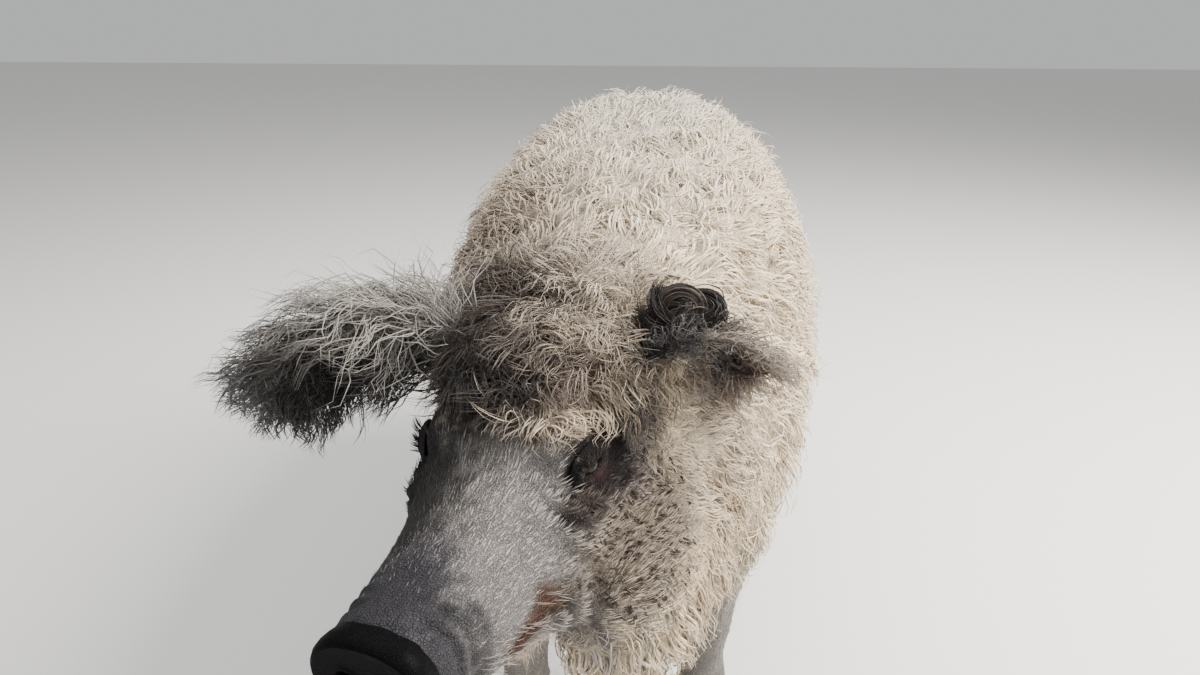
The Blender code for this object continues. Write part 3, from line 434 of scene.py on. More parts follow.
points, normals = points_of(hide), normals_of(hide)
for middle, along, across, outward in eyes.values():
    offset = points - np.array(middle)
    out = offset @ np.array(outward)
    aside = np.linalg.norm(offset - out[:, None] * np.array(outward), axis=1)
    share = eased(falls(aside, SOCKET_REACH, SOCKET_SOFT * SOCKET_REACH) * (np.abs(out) < SOCKET_HEIGHT))
    points -= (share * np.maximum(0, out - SOCKET_FLOOR))[:, None] * np.array(outward)
put_points(hide, points)


def lids(place):
    """Upper and lower lid of one eye, as one ring of skin that dives under the hide around them."""
    middle, along, across, outward = place
    rings = []
    for share, height in LID_RINGS:
        ring = []
        for i in range(LID_SIDES):
            angle = 2 * math.pi * i / LID_SIDES
            ahead, above = math.cos(angle), math.sin(angle)
            slit = LID_OPENING[0] * ahead, LID_OPENING[1] * above * (1 if above > 0 else LOWER_LID)
            a = slit[0] + (LID_REACH[0] * ahead - slit[0]) * share
            c = slit[1] + (LID_REACH[1] * above - slit[1]) * share
            if share:
                out = height - CORNER_DIP * abs(ahead) ** 3 * (1 - share)
            else:
                out = math.sqrt(max(0.00001, EYE_RADIUS ** 2 - a * a - c * c)) - EDGE_SINK
            if 0 < share < 0.5 and above > 0:
                out += UPPER_SWELL
            out += CRINKLE * math.sin(9 * angle + 7 * share) * math.sin(math.pi * min(1, share * 1.6))
            ring.append(middle + along * a + across * c + outward * out)
        rings.append(ring)
    bm = bmesh.new()
    loft(bm, rings, capped=False)
    made = piece_of("lids", bm)
    wall = made.modifiers.new("wall", "SOLIDIFY")
    wall.thickness = LID_WALL
    wall.offset = -1
    soften = made.modifiers.new("soften", "SUBSURF")
    soften.levels = soften.render_levels = 1
    settle(made)
    return made


lid_pieces = [lids(place) for place in eyes.values()]

# The disc of the snout: bare black gristle, always a little wet, with a raised rim, a shallow groove under
# it and two slanted nostrils that run deep into it. Its skin is finely pitted.
DISC_UP, DISC_BELOW, DISC_DISH = -0.003, 0.95, 0.0022
DISC_FACE_RINGS, DISC_SIDES = 34, 110
# Rings from the groove to the rim of its face: forward, half the width and half the height.
DISC_RINGS = (
    (0.346, 0.0455, 0.0410), (0.354, 0.0470, 0.0424), (0.360, 0.0476, 0.0430), (0.366, 0.0496, 0.0446),
    (0.372, 0.0508, 0.0454), (0.378, 0.0508, 0.0450), (0.382, 0.0492, 0.0436), (0.3838, 0.0468, 0.0412),
)
NOSTRIL_APART, NOSTRIL_UP, NOSTRIL_TILT = 0.0185, -0.002, math.radians(18)
NOSTRIL_REACH, NOSTRIL_DEPTH, NOSTRIL_LIP, FACE_FROM = (0.0086, 0.0108), 0.024, 0.0011, 0.380

bm = bmesh.new()
rings = [
    oval(on_head(forward, 0, DISC_UP), HEAD_LEFT, HEAD_UP, wide, high, high * DISC_BELOW, 2.3, DISC_SIDES)
    for forward, wide, high in DISC_RINGS
]
forward, wide, high = DISC_RINGS[-1]
for i in range(1, DISC_FACE_RINGS):
    part = 1 - i / DISC_FACE_RINGS
    rings.append(oval(
        on_head(forward - DISC_DISH * (1 - part ** 3), 0, DISC_UP), HEAD_LEFT, HEAD_UP, wide * part,
        high * part, high * part * DISC_BELOW, 2 + 0.3 * part, DISC_SIDES,
    ))
rings.append([on_head(forward - DISC_DISH, 0, DISC_UP)])
loft(bm, rings)
disc = piece_of("disc", bm)
points = points_of(disc)
measures = head_measures(points)
ahead = measures[:, 0] > FACE_FROM
for side in SIDES.values():
    turn = side * NOSTRIL_TILT
    offset = measures[:, 1:] - (side * NOSTRIL_APART, NOSTRIL_UP)
    a = offset[:, 0] * math.cos(turn) + offset[:, 1] * math.sin(turn)
    b = offset[:, 1] * math.cos(turn) - offset[:, 0] * math.sin(turn)
    away = np.sqrt((a / NOSTRIL_REACH[0]) ** 2 + (b / NOSTRIL_REACH[1]) ** 2)
    hollow = np.clip(1.25 - away, 0, 1) ** 0.5 * (away < 1.25)
    lip = np.exp(-((away - 1.35) / 0.22) ** 2) * NOSTRIL_LIP
    points += ((lip - hollow * NOSTRIL_DEPTH) * ahead)[:, None] * HEAD_WAYS[0]
put_points(disc, points)

# The ears: a leaf of gristle rolled to a funnel at its root, under thin skin. The right one is flung out
# sideways with its tip hanging, and the left one is swept back.
EAR_STEPS, EAR_ACROSS, EAR_WALL = 8, 22, 0.0032
TIP_FROM, TIP_NARROWING = 0.86, 0.75
# Radius of the leaf and half the angle that it wraps, from root to tip.
EAR_SHAPE = ((0.024, 128), (0.031, 104), (0.056, 64), (0.064, 54), (0.050, 34))
# Path of each ear's middle line, forward, outward and up of the poll, and the way its hollow faces.
EAR_PATHS = {
    "right": (
        ((0.012, 0.064, 0.078), (0.018, 0.122, 0.106), (0.046, 0.190, 0.112), (0.088, 0.248, 0.082),
         (0.128, 0.282, 0.036)),
        (0.80, 0.10, -0.55),
    ),
    "left": (
        ((0.012, 0.064, 0.078), (0.010, 0.104, 0.098), (0.000, 0.136, 0.098), (-0.012, 0.160, 0.074),
         (-0.020, 0.174, 0.042)),
        (0.75, 0.25, -0.60),
    ),
}


def way_at(middles, i):
    """The way that a line of points runs at its point i."""
    return (middles[min(i + 1, len(middles) - 1)] - middles[max(i - 1, 0)]).normalized()


def store(obj, name, kind, values):
    """Stores one value for each point of a piece."""
    key = {"FLOAT_VECTOR": "vector", "FLOAT_COLOR": "color"}.get(kind, "value")
    values = np.asarray(values, np.int32 if kind == "INT" else np.float32)
    obj.data.attributes.new(name, kind, "POINT").data.foreach_set(key, values.ravel())


def ear_stations(name):
    """Sections of an ear: middle, ways along, across and into its hollow, radius and angle of the wrap."""
    path, facing = EAR_PATHS[name]
    side = SIDES[name]
    rows = between([place + shape for place, shape in zip(path, EAR_SHAPE)], EAR_STEPS)
    middles = [on_head(row[0], side * row[1], row[2]) for row in rows]
    hollow = HEAD_FORWARD * facing[0] + HEAD_LEFT * (side * facing[1]) + HEAD_UP * facing[2]
    stations = []
    for i, row in enumerate(rows):
        along = way_at(middles, i)
        inward = (hollow - along * hollow.dot(along)).normalized()
        tip = i / (len(rows) - 1)
        round_off = 1 - TIP_NARROWING * max(0, (tip - TIP_FROM) / (1 - TIP_FROM)) ** 2
        stations.append((
            middles[i], along, along.cross(inward) * -side, inward, row[3],
            math.radians(row[4]) * round_off,
        ))
    return stations


def ear_point(station, part):
    """A point of the ear's middle surface, part running from -1 at the lower edge to 1 at the upper one."""
    middle, _, across, inward, radius, wrap = station
    angle = wrap * part
    return middle + across * (radius * math.sin(angle)) + inward * (radius * (1 - math.cos(angle)))


ears = {}
for name in SIDES:
    bm = bmesh.new()
    grid = []
    for station in ear_stations(name):
        grid.append([bm.verts.new(ear_point(station, 2 * i / EAR_ACROSS - 1)) for i in range(EAR_ACROSS + 1)])
    for row, after in zip(grid, grid[1:]):
        for i in range(EAR_ACROSS):
            bm.faces.new((row[i], row[i + 1], after[i + 1], after[i]))
    ear = piece_of("ear_leaf_" + name, bm)
    store(ear, "share", "FLOAT", np.repeat(np.linspace(0, 1, len(grid)), EAR_ACROSS + 1))
    store(ear, "part", "FLOAT", np.tile(np.linspace(-1, 1, EAR_ACROSS + 1), len(grid)))
    wall = ear.modifiers.new("wall", "SOLIDIFY")
    wall.thickness = EAR_WALL
    wall.offset = 0
    settle(ear)
    ears[name] = ear

# The tail: a thin whip of bone and skin that hangs from the rump. Its rows say how far each point lies to the
# left of the root and behind the rump, its height over the floor and its radius.
TAIL_ROOT, RUMP_CLEAR = STAND + Vector((0.008, 0.600, 0.640)), 0.018
TAIL = (
    (0.000, -0.030, 0.640, 0.0200),
    (0.000, 0.016, 0.642, 0.0180),
    (0.003, 0.046, 0.618, 0.0150),
    (0.008, 0.062, 0.570, 0.0125),
    (0.016, 0.060, 0.510, 0.0105),
    (0.010, 0.056, 0.450, 0.0085),
    (-0.006, 0.060, 0.400, 0.0065),
    (-0.012, 0.066, 0.370, 0.0040),
)


def round_ring(middle, along, radius, sides):
    """A round section square to the way along."""
    return oval(middle, RIGHT, along.cross(RIGHT).normalized(), radius, radius, radius, 2, sides)


rump = surface_of(trunk).ray_cast(TAIL_ROOT + BACK * 0.3, -BACK)[0].y + RUMP_CLEAR
tail_rows = [(Vector((TAIL_ROOT.x + x, rump + y, z)), r) for x, y, z, r in between(TAIL, 6)]
tail_line = [middle for middle, _ in tail_rows]
bm = bmesh.new()
loft(bm, [round_ring(middle, way_at(tail_line, i), r, 20) for i, (middle, r) in enumerate(tail_rows)])
tail = piece_of("tail_whip", bm)

# The markings. Cream wool, greyer along the back and darker brown over the right shoulder, partly dun wool
# and partly painted shade. Beige and brown-black curls on the poll. A light grey face that darkens to the
# muzzle and is painted dark on its right side, partly darker hair and partly painted shade. Dark bare skin
# round the eyes, speckled cheeks and a rusty stain behind the mouth. Hide and hair take their colour from
# the same places.
CREAM, GREY_WOOL, DUN_AND_SHADED_WOOL = (0.90, 0.74, 0.53), (0.69, 0.61, 0.49), (0.36, 0.28, 0.205)
FACE_HAIR, FACE_HIDE = (0.335, 0.302, 0.275), (0.155, 0.143, 0.137)
# Place forward, left and up of the poll, its reach each way, softness, colour of the hide and of the hair.
HEAD_MARKS = (
    ((0.250, 0.000, -0.020), (0.200, 0.170, 0.150), 0.20, FACE_HIDE, FACE_HAIR),
    ((0.126, 0.120, -0.048), (0.080, 0.070, 0.064), 0.40, (0.16, 0.130, 0.102), (0.275, 0.222, 0.171)),
    ((0.126, -0.120, -0.048), (0.080, 0.070, 0.064), 0.40, (0.13, 0.110, 0.092), (0.24, 0.200, 0.16)),
    ((0.100, 0.112, 0.020), (0.040, 0.035, 0.040), 0.50, (0.11, 0.095, 0.085), (0.23, 0.195, 0.17)),
    # The right side of the face is painted dark, partly darker hair and partly painted shade on the side away
    # from the light.
    ((0.230, -0.066, 0.010), (0.170, 0.072, 0.095), 0.45, (0.020, 0.019, 0.018), (0.030, 0.028, 0.027)),
    ((0.350, 0.000, 0.000), (0.065, 0.080, 0.070), 0.45, (0.026, 0.025, 0.029), (0.088, 0.085, 0.092)),
    ((0.325, 0.000, 0.045), (0.060, 0.030, 0.030), 0.50, (0.028, 0.026, 0.031), (0.09, 0.086, 0.092)),
    ((0.045, -0.010, 0.125), (0.110, 0.110, 0.085), 0.30, (0.15, 0.116, 0.089), (0.29, 0.226, 0.174)),
    ((0.016, 0.024, 0.158), (0.062, 0.072, 0.054), 0.40, (0.36, 0.30, 0.235), (0.62, 0.52, 0.405)),
    ((0.114, 0.054, 0.090), (0.050, 0.036, 0.042), 0.30, (0.26, 0.21, 0.155), (0.72, 0.58, 0.43)),
    ((0.098, 0.040, 0.104), (0.022, 0.045, 0.020), 0.50, (0.09, 0.065, 0.050), (0.17, 0.125, 0.098)),
    ((0.072, -0.010, 0.125), (0.020, 0.040, 0.020), 0.50, (0.06, 0.050, 0.042), (0.13, 0.110, 0.094)),
    ((0.050, -0.056, 0.122), (0.078, 0.060, 0.068), 0.30, (0.038, 0.027, 0.020), (0.066, 0.047, 0.035)),
    ((0.112, -0.048, 0.088), (0.044, 0.066, 0.038), 0.35, (0.014, 0.011, 0.010), (0.024, 0.018, 0.015)),
    ((0.076, 0.108, 0.076), (0.036, 0.034, 0.036), 0.40, (0.034, 0.027, 0.022), (0.062, 0.048, 0.038)),
    ((0.010, 0.138, 0.070), (0.040, 0.030, 0.030), 0.40, (0.085, 0.067, 0.053), (0.165, 0.131, 0.103)),
    ((0.000, 0.150, -0.010), (0.050, 0.055, 0.070), 0.50, (0.56, 0.46, 0.34), (0.68, 0.56, 0.42)),
    ((0.136, 0.092, 0.036), (0.047, 0.040, 0.038), 0.25, (0.010, 0.007, 0.007), (0.016, 0.011, 0.011)),
    ((0.142, 0.096, 0.030), (0.014, 0.020, 0.010), 0.50, (0.028, 0.012, 0.011), (0.030, 0.015, 0.014)),
    ((0.178, 0.088, 0.016), (0.026, 0.026, 0.014), 0.50, (0.034, 0.026, 0.023), (0.055, 0.043, 0.036)),
    ((0.130, -0.092, 0.045), (0.085, 0.036, 0.036), 0.35, (0.018, 0.015, 0.017), (0.026, 0.022, 0.023)),
    ((0.214, 0.080, -0.058), (0.018, 0.030, 0.026), 0.50, (0.050, 0.042, 0.036), (0.110, 0.095, 0.080)),
    ((0.236, 0.072, -0.038), (0.018, 0.030, 0.020), 0.50, (0.050, 0.024, 0.014), (0.084, 0.043, 0.026)),
    ((0.260, 0.066, -0.050), (0.026, 0.032, 0.015), 0.50, (0.045, 0.021, 0.013), (0.074, 0.037, 0.023)),
    ((0.278, 0.052, -0.068), (0.022, 0.036, 0.016), 0.50, (0.045, 0.023, 0.015), (0.076, 0.042, 0.029)),
    ((0.245, -0.068, -0.046), (0.038, 0.034, 0.018), 0.50, (0.075, 0.040, 0.027), (0.140, 0.082, 0.057)),
)
# The same for the body, sideways, back and up.
BODY_MARKS = (
    ((0.008, 0.150, 0.860), (0.200, 0.700, 0.150), 0.60, GREY_WOOL, GREY_WOOL),
    # The dark mark over the right shoulder is partly dun wool and partly painted shade.
    ((-0.165, -0.390, 0.700), (0.125, 0.220, 0.200), 0.50, DUN_AND_SHADED_WOOL, DUN_AND_SHADED_WOOL),
    ((0.060, -0.560, 0.420), (0.200, 0.120, 0.140), 0.50, (0.52, 0.410, 0.280), (0.70, 0.56, 0.390)),
    ((0.000, 0.000, 0.040), (0.600, 1.200, 0.270), 0.25, (0.22, 0.205, 0.185), (0.31, 0.287, 0.255)),
    ((0.000, 0.000, 0.000), (0.600, 1.200, 0.075), 0.50, (0.12, 0.11, 0.103), (0.20, 0.185, 0.17)),
)
# The felt is painted darker than the cream wool of its locks, as painted shade down between the strands.
FELT_SHADE = 0.88
# Dark speckles on both cheeks: the middle of their patch on the left one, and its reach each way.
SPECKLED = ((0.128, 0.105, -0.036), (0.080, 0.075, 0.088))


def mottle(points, size, seed):
    """A slow random swell between -1 and 1 over the given points, with spots of about this size."""
    draw = np.random.default_rng(seed)
    waves = sum(
        np.sin(points @ draw.normal(0, 2 * math.pi / size, 3) + draw.uniform(0, 2 * math.pi))
        for _ in range(7)
    )
    return np.clip(waves / 3, -1, 1)


def swirls(points, size, seed):
    """A slow random way at each point, with swirls of about this size."""
    return np.stack([mottle(points, size, seed + i) for i in range(3)], axis=1)


def apart(measures, middle, reach):
    """Distance from a middle, where 1 is the reach each way."""
    return np.linalg.norm((measures - middle) / reach, axis=1)


def from_cheek(measures):
    """Distance from the middle of the speckled patch on either cheek."""
    mirrored = np.stack([measures[:, 0], np.abs(measures[:, 1]), measures[:, 2]], axis=1)
    return apart(mirrored, *SPECKLED)


def lay_mark(tones, measures, mark, column):
    """Lays one mark with a ragged edge over the tones."""
    middle, reach, soft = mark[:3]
    ragged = 0.14 * mottle(measures, 0.030, 5) + 0.07 * mottle(measures, 0.011, 6)
    ragged = ragged + apart(measures, middle, reach)
    share = eased(falls(ragged, 1 + soft, 2 * soft))[:, None]
    return tones * (1 - share) + np.array(mark[column]) * share


def speckles(measures):
    """Share of dark speckle at a place on the head."""
    on_cheek = np.clip(1.5 - from_cheek(measures), 0, 0.5) * 2
    spots = mottle(measures, 0.0075, 81) + 0.5 * mottle(measures, 0.014, 82)
    return on_cheek * rises(spots, 0.30, 0.12)


def markings(points):
    """Colour of the hide and colour of the hair that grows on it, for an array of points."""
    from_stand, from_poll = points - STANDING, head_measures(points)
    # Under the marks, the hide starts as the cream wool darkened by the felt's painted shade.
    hide_tones = np.tile(np.array(CREAM) * FELT_SHADE, (len(points), 1))
    hair_tones = np.tile(CREAM, (len(points), 1))
    for marks, measures in ((BODY_MARKS, from_stand), (HEAD_MARKS, from_poll)):
        for mark in marks:
            hide_tones = lay_mark(hide_tones, measures, mark, 3)
            hair_tones = lay_mark(hair_tones, measures, mark, 4)
    dark = speckles(from_poll)[:, None]
    return hide_tones * (1 - 0.5 * dark), hair_tones * (1 - 0.4 * dark)


def colour_in(obj, tones):
    """Stores the colour of each point of a piece."""
    store(obj, "tone", "FLOAT_COLOR", np.column_stack([tones, np.ones(len(tones))]))


# Hide, lids and tail become one piece, and stand for every node of flesh in the frame. Its grain is fine
# creased leather, and on trunk and neck it carries a thick felt of underwool, swollen into soft clumps.
FELT_DEPTH, CLUMP_DEPTH, CLUMP_SIZE = 0.011, 0.0045, 0.055
# The nap of the face's short hair is drawn out along the head by this share.
NAP_STRETCH = 0.16
# Height at which the wool begins on the legs, and over how much more it grows full. How far forward of the
# poll the felt begins, and where it is full.
WOOL_ENDS, WOOL_THINS = 0.22, 0.13
WOOL_STARTS, WOOL_FULL = 0.05, -0.05


def above_legs(points, thins=WOOL_THINS):
    """Share of the full wool at the height of a point."""
    return rises(points[:, 2] - STAND.z, WOOL_ENDS, thins)


def felted(points):
    """Share of felt over a point: none on the face and the feet, full on trunk and neck."""
    behind = falls(head_measures(points)[:, 0], WOOL_STARTS, WOOL_STARTS - WOOL_FULL)
    return eased(above_legs(points) * behind)


for obj in (trunk, hide):
    points = points_of(obj)
    swell = FELT_DEPTH + CLUMP_DEPTH * mottle(points, CLUMP_SIZE, 12)
    put_points(obj, points + normals_of(obj) * (felted(points) * swell)[:, None])

ON_TRUNK, ON_HEAD, ON_LIDS, ON_TAIL = 0, 1, 2, 3
for obj, region in [(trunk, ON_TRUNK), (hide, ON_HEAD), (tail, ON_TAIL)] + [(p, ON_LIDS) for p in lid_pieces]:
    store(obj, "region", "INT", np.full(len(obj.data.vertices), region))
bpy.ops.object.select_all(action="DESELECT")
for obj in [trunk, tail, *lid_pieces, hide]:
    obj.select_set(True)
bpy.context.view_layer.objects.active = hide
bpy.ops.object.join()
points = points_of(hide)
colour_in(hide, markings(points)[0])
store(hide, "felt", "FLOAT", felted(points))
store(hide, "flow", "FLOAT_VECTOR", head_measures(points) * (NAP_STRETCH, 1, 1))


class Nodes:
    """Places shader nodes one after the other and links them by socket name."""

    def __init__(self, tree, shader=None):
        self.tree = tree
        self.shader = shader

    def feed(self, socket, value):
        """Links a socket into an input, or sets the input to a plain value."""
        if isinstance(value, bpy.types.NodeSocket):
            self.tree.links.new(value, socket)
        else:
            socket.default_value = value

    def fill(self, node, inputs):
        """Feeds a node's inputs by name, where an underscore stands for a space."""
        for name, value in inputs.items():
            self.feed(node.inputs[name.replace("_", " ")], value)
        return node

    def add(self, kind, **inputs):
        return self.fill(self.tree.nodes.new("ShaderNode" + kind), inputs)

    def group(self, tree, **inputs):
        node = self.add("Group")
        node.node_tree = tree
        return self.fill(node, inputs).outputs

    def place(self):
        """The shaded point, measured from the object's own origin."""
        return self.add("TexCoord").outputs["Object"]

    def attribute(self, name, output="Color"):
        node = self.add("Attribute")
        node.attribute_name = name
        return node.outputs[output]

    def noise(self, vector, scale, detail, **more):
        return self.add("TexNoise", Vector=vector, Scale=scale, Detail=detail, **more).outputs["Fac"]

    def worked(self, kind, operation, *values):
        """The outputs of a node that works out an operation on the given values."""
        node = self.add(kind)
        node.operation = operation
        for socket, value in zip(node.inputs, values):
            self.feed(socket, value)
        return node.outputs

    def number(self, operation, *values):
        return self.worked("Math", operation, *values)["Value"]

    def mix(self, share, first, second, blend="MIX"):
        node = self.add("Mix")
        node.data_type = "RGBA"
        node.blend_type = blend
        self.fill(node, {"Factor": share, "A": first, "B": second})
        return node.outputs["Result"]

    def spread(self, value, low, high, to_low=0.0, to_high=1.0):
        """Maps the stretch from low to high onto another one, and stays within it."""
        return self.add("MapRange", Value=value, From_Min=low, From_Max=high, To_Min=to_low,
                        To_Max=to_high).outputs["Result"]

    def shaded(self, colour, share, dark, light):
        """A colour, made darker where the share is 0 and lighter where it is 1."""
        return self.mix(1.0, colour, self.spread(share, 0.0, 1.0, dark, light), "MULTIPLY")

    def paint(self, colour):
        self.feed(self.shader.inputs["Base Color"], colour)

    def bump(self, height, distance):
        bump = self.add("Bump", Strength=1.0, Distance=distance, Height=height)
        self.feed(self.shader.inputs["Normal"], bump.outputs["Normal"])

    def wear(self, grain, distance):
        """Takes colour and relief from a group's outputs."""
        self.paint(grain["Colour"])
        self.bump(grain["Height"], distance)


def group_of(name, inputs, outputs):
    """A shader node group with named sockets, with its input and output nodes."""
    tree = bpy.data.node_groups.new(name, "ShaderNodeTree")
    for way, sockets in (("INPUT", inputs), ("OUTPUT", outputs)):
        for socket, kind, value in sockets:
            made = tree.interface.new_socket(socket, in_out=way, socket_type="NodeSocket" + kind)
            if value is not None:
                made.default_value = value
    return tree, tree.nodes.new("NodeGroupInput"), tree.nodes.new("NodeGroupOutput")


def material_of(name, roughness, **constants):
    """A material with its values set, and the nodes to go on with."""
    made = bpy.data.materials.new(name)
    made.use_nodes = True
    made.diffuse_color = (0.5, 0.5, 0.5, 1)
    n = Nodes(made.node_tree, made.node_tree.nodes["Principled BSDF"])
    n.fill(n.shader, {"Roughness": roughness, **constants})
    return made, n


def finish(obj, material, slot, *nodes):
    """Gives a piece its material and its body, and hides the nodes of the frame that it stands for. The slot
    is not used.
    """
    obj.data.materials.clear()
    obj.data.materials.append(material)
    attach(obj, "root")
    if nodes:
        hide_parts(*nodes)


# Creased leather: a net of fine wrinkles with pores between them, for every bare place of the pig.
leather, into, out = group_of(
    "creased_leather",
    (("Tone", "Color", (0.2, 0.2, 0.2, 1)), ("Place", "Vector", None), ("Crease Size", "Float", 300.0)),
    (("Colour", "Color", None), ("Height", "Float", None)),
)
n = Nodes(leather)
place = into.outputs["Place"]
bent = n.add("TexNoise", Vector=place, Scale=60.0, Detail=3.0).outputs["Color"]
cells = n.add("TexVoronoi", Vector=n.mix(0.0016, place, bent), Scale=into.outputs["Crease Size"])
cells.feature = "DISTANCE_TO_EDGE"
creases = n.spread(cells.outputs["Distance"], 0.0, 0.22)
pores = n.noise(place, 900.0, 2.0)
patchy = n.spread(n.noise(place, 35.0, 4.0), 0.3, 0.7, 0.80, 1.18)
# The creases are painted darker, as painted shade in them; the patches change the tone at random.
shade = n.number("MULTIPLY", n.spread(creases, 0.0, 1.0, 0.72, 1.0), patchy)
n.feed(out.inputs["Colour"], n.mix(1.0, into.outputs["Tone"], shade, "MULTIPLY"))
n.feed(out.inputs["Height"], n.number("ADD", creases, n.number("MULTIPLY", pores, 0.35)))

# Bare skin is leather under the nap of the short hair. Felt is softer, and is painted paler where it curls
# outwards and darker in the hollows between its curls, as painted light and shade.
hide_skin, n = material_of("hide_skin", 0.75, Specular_IOR_Level=0.15)
tone, felt = n.attribute("tone"), n.attribute("felt", "Fac")
grain = n.group(leather, Tone=tone, Place=n.place(), Crease_Size=420.0)
curled = n.spread(n.noise(n.place(), 190.0, 5.0, Distortion=3.0), 0.3, 0.7)
nap = n.spread(n.noise(n.attribute("flow", "Vector"), 620.0, 3.0), 0.3, 0.7)
# Felt tone: painted lighter on its curls and darker between them, as painted light and shade.
n.paint(n.mix(felt, n.shaded(grain["Colour"], nap, 0.65, 1.35), n.shaded(tone, curled, 0.74, 1.12)))
n.bump(n.mix(felt, n.number("ADD", grain["Height"], nap), n.number("MULTIPLY", curled, 3.5)), 0.0009)
FLESH = ["torso", "neck", "head", "jaw", "leg_front_left", "leg_front_right", "leg_hind_left",
         "leg_hind_right", "tail"]
finish(hide, hide_skin, "short_coat", *FLESH)

# The disc is black, moist and pitted, and shines a little.
disc_skin, n = material_of(
    "disc_skin", 0.55, Specular_IOR_Level=0.03, Coat_Weight=0.008, Coat_Roughness=0.22,
)
n.wear(n.group(leather, Tone=(0.0032, 0.0031, 0.0036, 1), Place=n.place(), Crease_Size=520.0), 0.0006)
finish(disc, disc_skin, "disc_skin", "snout_disc")

# The ears' thin skin: on the right one grey, pale on the upper lobe and nearly black across the middle and
# below, partly its own dark colour and partly painted shade in its hollow and on its side away from the
# light;
# on the left one beige with dark places. The hair that grows on it takes the same colours.
EAR_BASE = {"right": (0.115, 0.102, 0.091), "left": (0.36, 0.290, 0.235)}
# Share along the ear and across it, reach of each, colour, for marks laid one over the other.
EAR_MARKS = {
    "right": (
        ((0.28, 0.82), (0.28, 0.66), (0.30, 0.275, 0.242)),
        # The near-black marks across the middle and below are partly the ear's own colour and partly painted
        # shade.
        ((0.20, -0.62), (0.34, 0.62), (0.040, 0.034, 0.031)),
        ((0.97, 0.80), (0.18, 0.90), (0.170, 0.162, 0.155)),
        ((0.66, -0.05), (0.24, 0.56), (0.016, 0.014, 0.014)),
        ((0.82, -0.55), (0.24, 0.60), (0.040, 0.034, 0.032)),
    ),
    "left": (
        ((0.30, 0.60), (0.28, 0.55), (0.030, 0.024, 0.021)),
        ((0.62, -0.10), (0.14, 0.55), (0.035, 0.028, 0.025)),
        ((0.80, 0.10), (0.10, 0.60), (0.22, 0.158, 0.120)),
    ),
}
EAR_SHADE = 0.55


def ear_tones(name, share, part, places):
    """Colour of the hair at these shares along and across an ear."""
    tones = np.tile(EAR_BASE[name], (len(share), 1))
    ragged = 0.22 * mottle(places, 0.03, 91)
    for (mark_along, mark_across), reach, colour in EAR_MARKS[name]:
        away = np.hypot((share - mark_along) / reach[0], (part - mark_across) / reach[1]) + ragged
        blend = falls(away, 1.25, 0.5)[:, None]
        tones = tones * (1 - blend) + np.array(colour) * blend
    return tones


def stored(obj, name, number=np.float32):
    """One stored value for each point of a piece."""
    values = np.empty(len(obj.data.vertices), number)
    obj.data.attributes[name].data.foreach_get("value", values)
    return values


ear_skin, n = material_of("ear_skin", 0.7, Specular_IOR_Level=0.25)
n.wear(n.group(leather, Tone=n.attribute("tone"), Place=n.place(), Crease_Size=380.0), 0.0006)
for name, ear in ears.items():
    tones = ear_tones(name, stored(ear, "share"), stored(ear, "part"), points_of(ear))
    colour_in(ear, tones * EAR_SHADE)
    finish(ear, ear_skin, "ear_hair", "ear_" + name)

# Eyeballs: nearly black and wet, with a faint dark brown iris round a wide pupil and a bulging cornea.
EYE_SIDES, CORNEA_RISE, CORNEA_FROM = 48, 0.0011, 0.80
# Where the pupil's and the iris's edges begin and end, from the foremost point of the ball.
PUPIL_EDGE, IRIS_EDGE = (0.0030, 0.0038), (0.0072, 0.0086)
PUPIL, IRIS_DARK, IRIS_PALE = (0.003, 0.003, 0.003, 1), (0.014, 0.008, 0.005, 1), (0.030, 0.017, 0.010, 1)
OUTSIDE_IRIS = (0.016, 0.012, 0.011, 1)
for name, (middle, along, across, outward) in eyes.items():
    bm = bmesh.new()
    mass(bm, Vector((0, 0, 0)), (along, across, outward), (1, 1, 1), EYE_SIDES)
    for v in bm.verts:
        front = max(0, (v.co.dot(outward) - CORNEA_FROM) / (1 - CORNEA_FROM))
        v.co = middle + v.co * (EYE_RADIUS + CORNEA_RISE * eased(front))
    ball = piece_of("eyeball_" + name, bm)
    eye_wet, n = material_of(
        "eye_wet_" + name, 0.25, Specular_IOR_Level=0.18, Coat_Weight=0.04, Coat_Roughness=0.05,
    )
    centred = n.worked("VectorMath", "SUBTRACT", n.place(), middle + outward * EYE_RADIUS)["Vector"]
    away = n.worked("VectorMath", "LENGTH", centred)["Value"]
    iris = n.mix(n.spread(n.noise(centred, 900.0, 3.0), 0.3, 0.7), IRIS_DARK, IRIS_PALE)
    n.paint(n.mix(n.spread(away, *IRIS_EDGE), n.mix(n.spread(away, *PUPIL_EDGE), PUPIL, iris), OUTSIDE_IRIS))
    finish(ball, eye_wet, "eye", "eye_" + name)

# The claws: two main ones under each foot, of dark worn horn, with flat soles, rings of growth and a wall
# that slopes back to the coronet under the hair, and two spare ones behind the pastern.
CLAW_SIDES, HEEL_DROP, RING_DEPTH, LAST_RING = 40, 0.28, 0.012, 24
# Height, half width, half length, how far the ring's middle lies back of the sole's, and the nip of its toe.
CLAW = (
    (0.0000, 0.0158, 0.0430, 0.0000, 0.40),
    (0.0015, 0.0172, 0.0452, 0.0000, 0.40),
    (0.0100, 0.0174, 0.0446, 0.0020, 0.36),
    (0.0220, 0.0168, 0.0418, 0.0062, 0.30),
    (0.0340, 0.0158, 0.0380, 0.0105, 0.24),
    (0.0430, 0.0130, 0.0300, 0.0125, 0.20),
    (0.0480, 0.0070, 0.0160, 0.0130, 0.10),
)

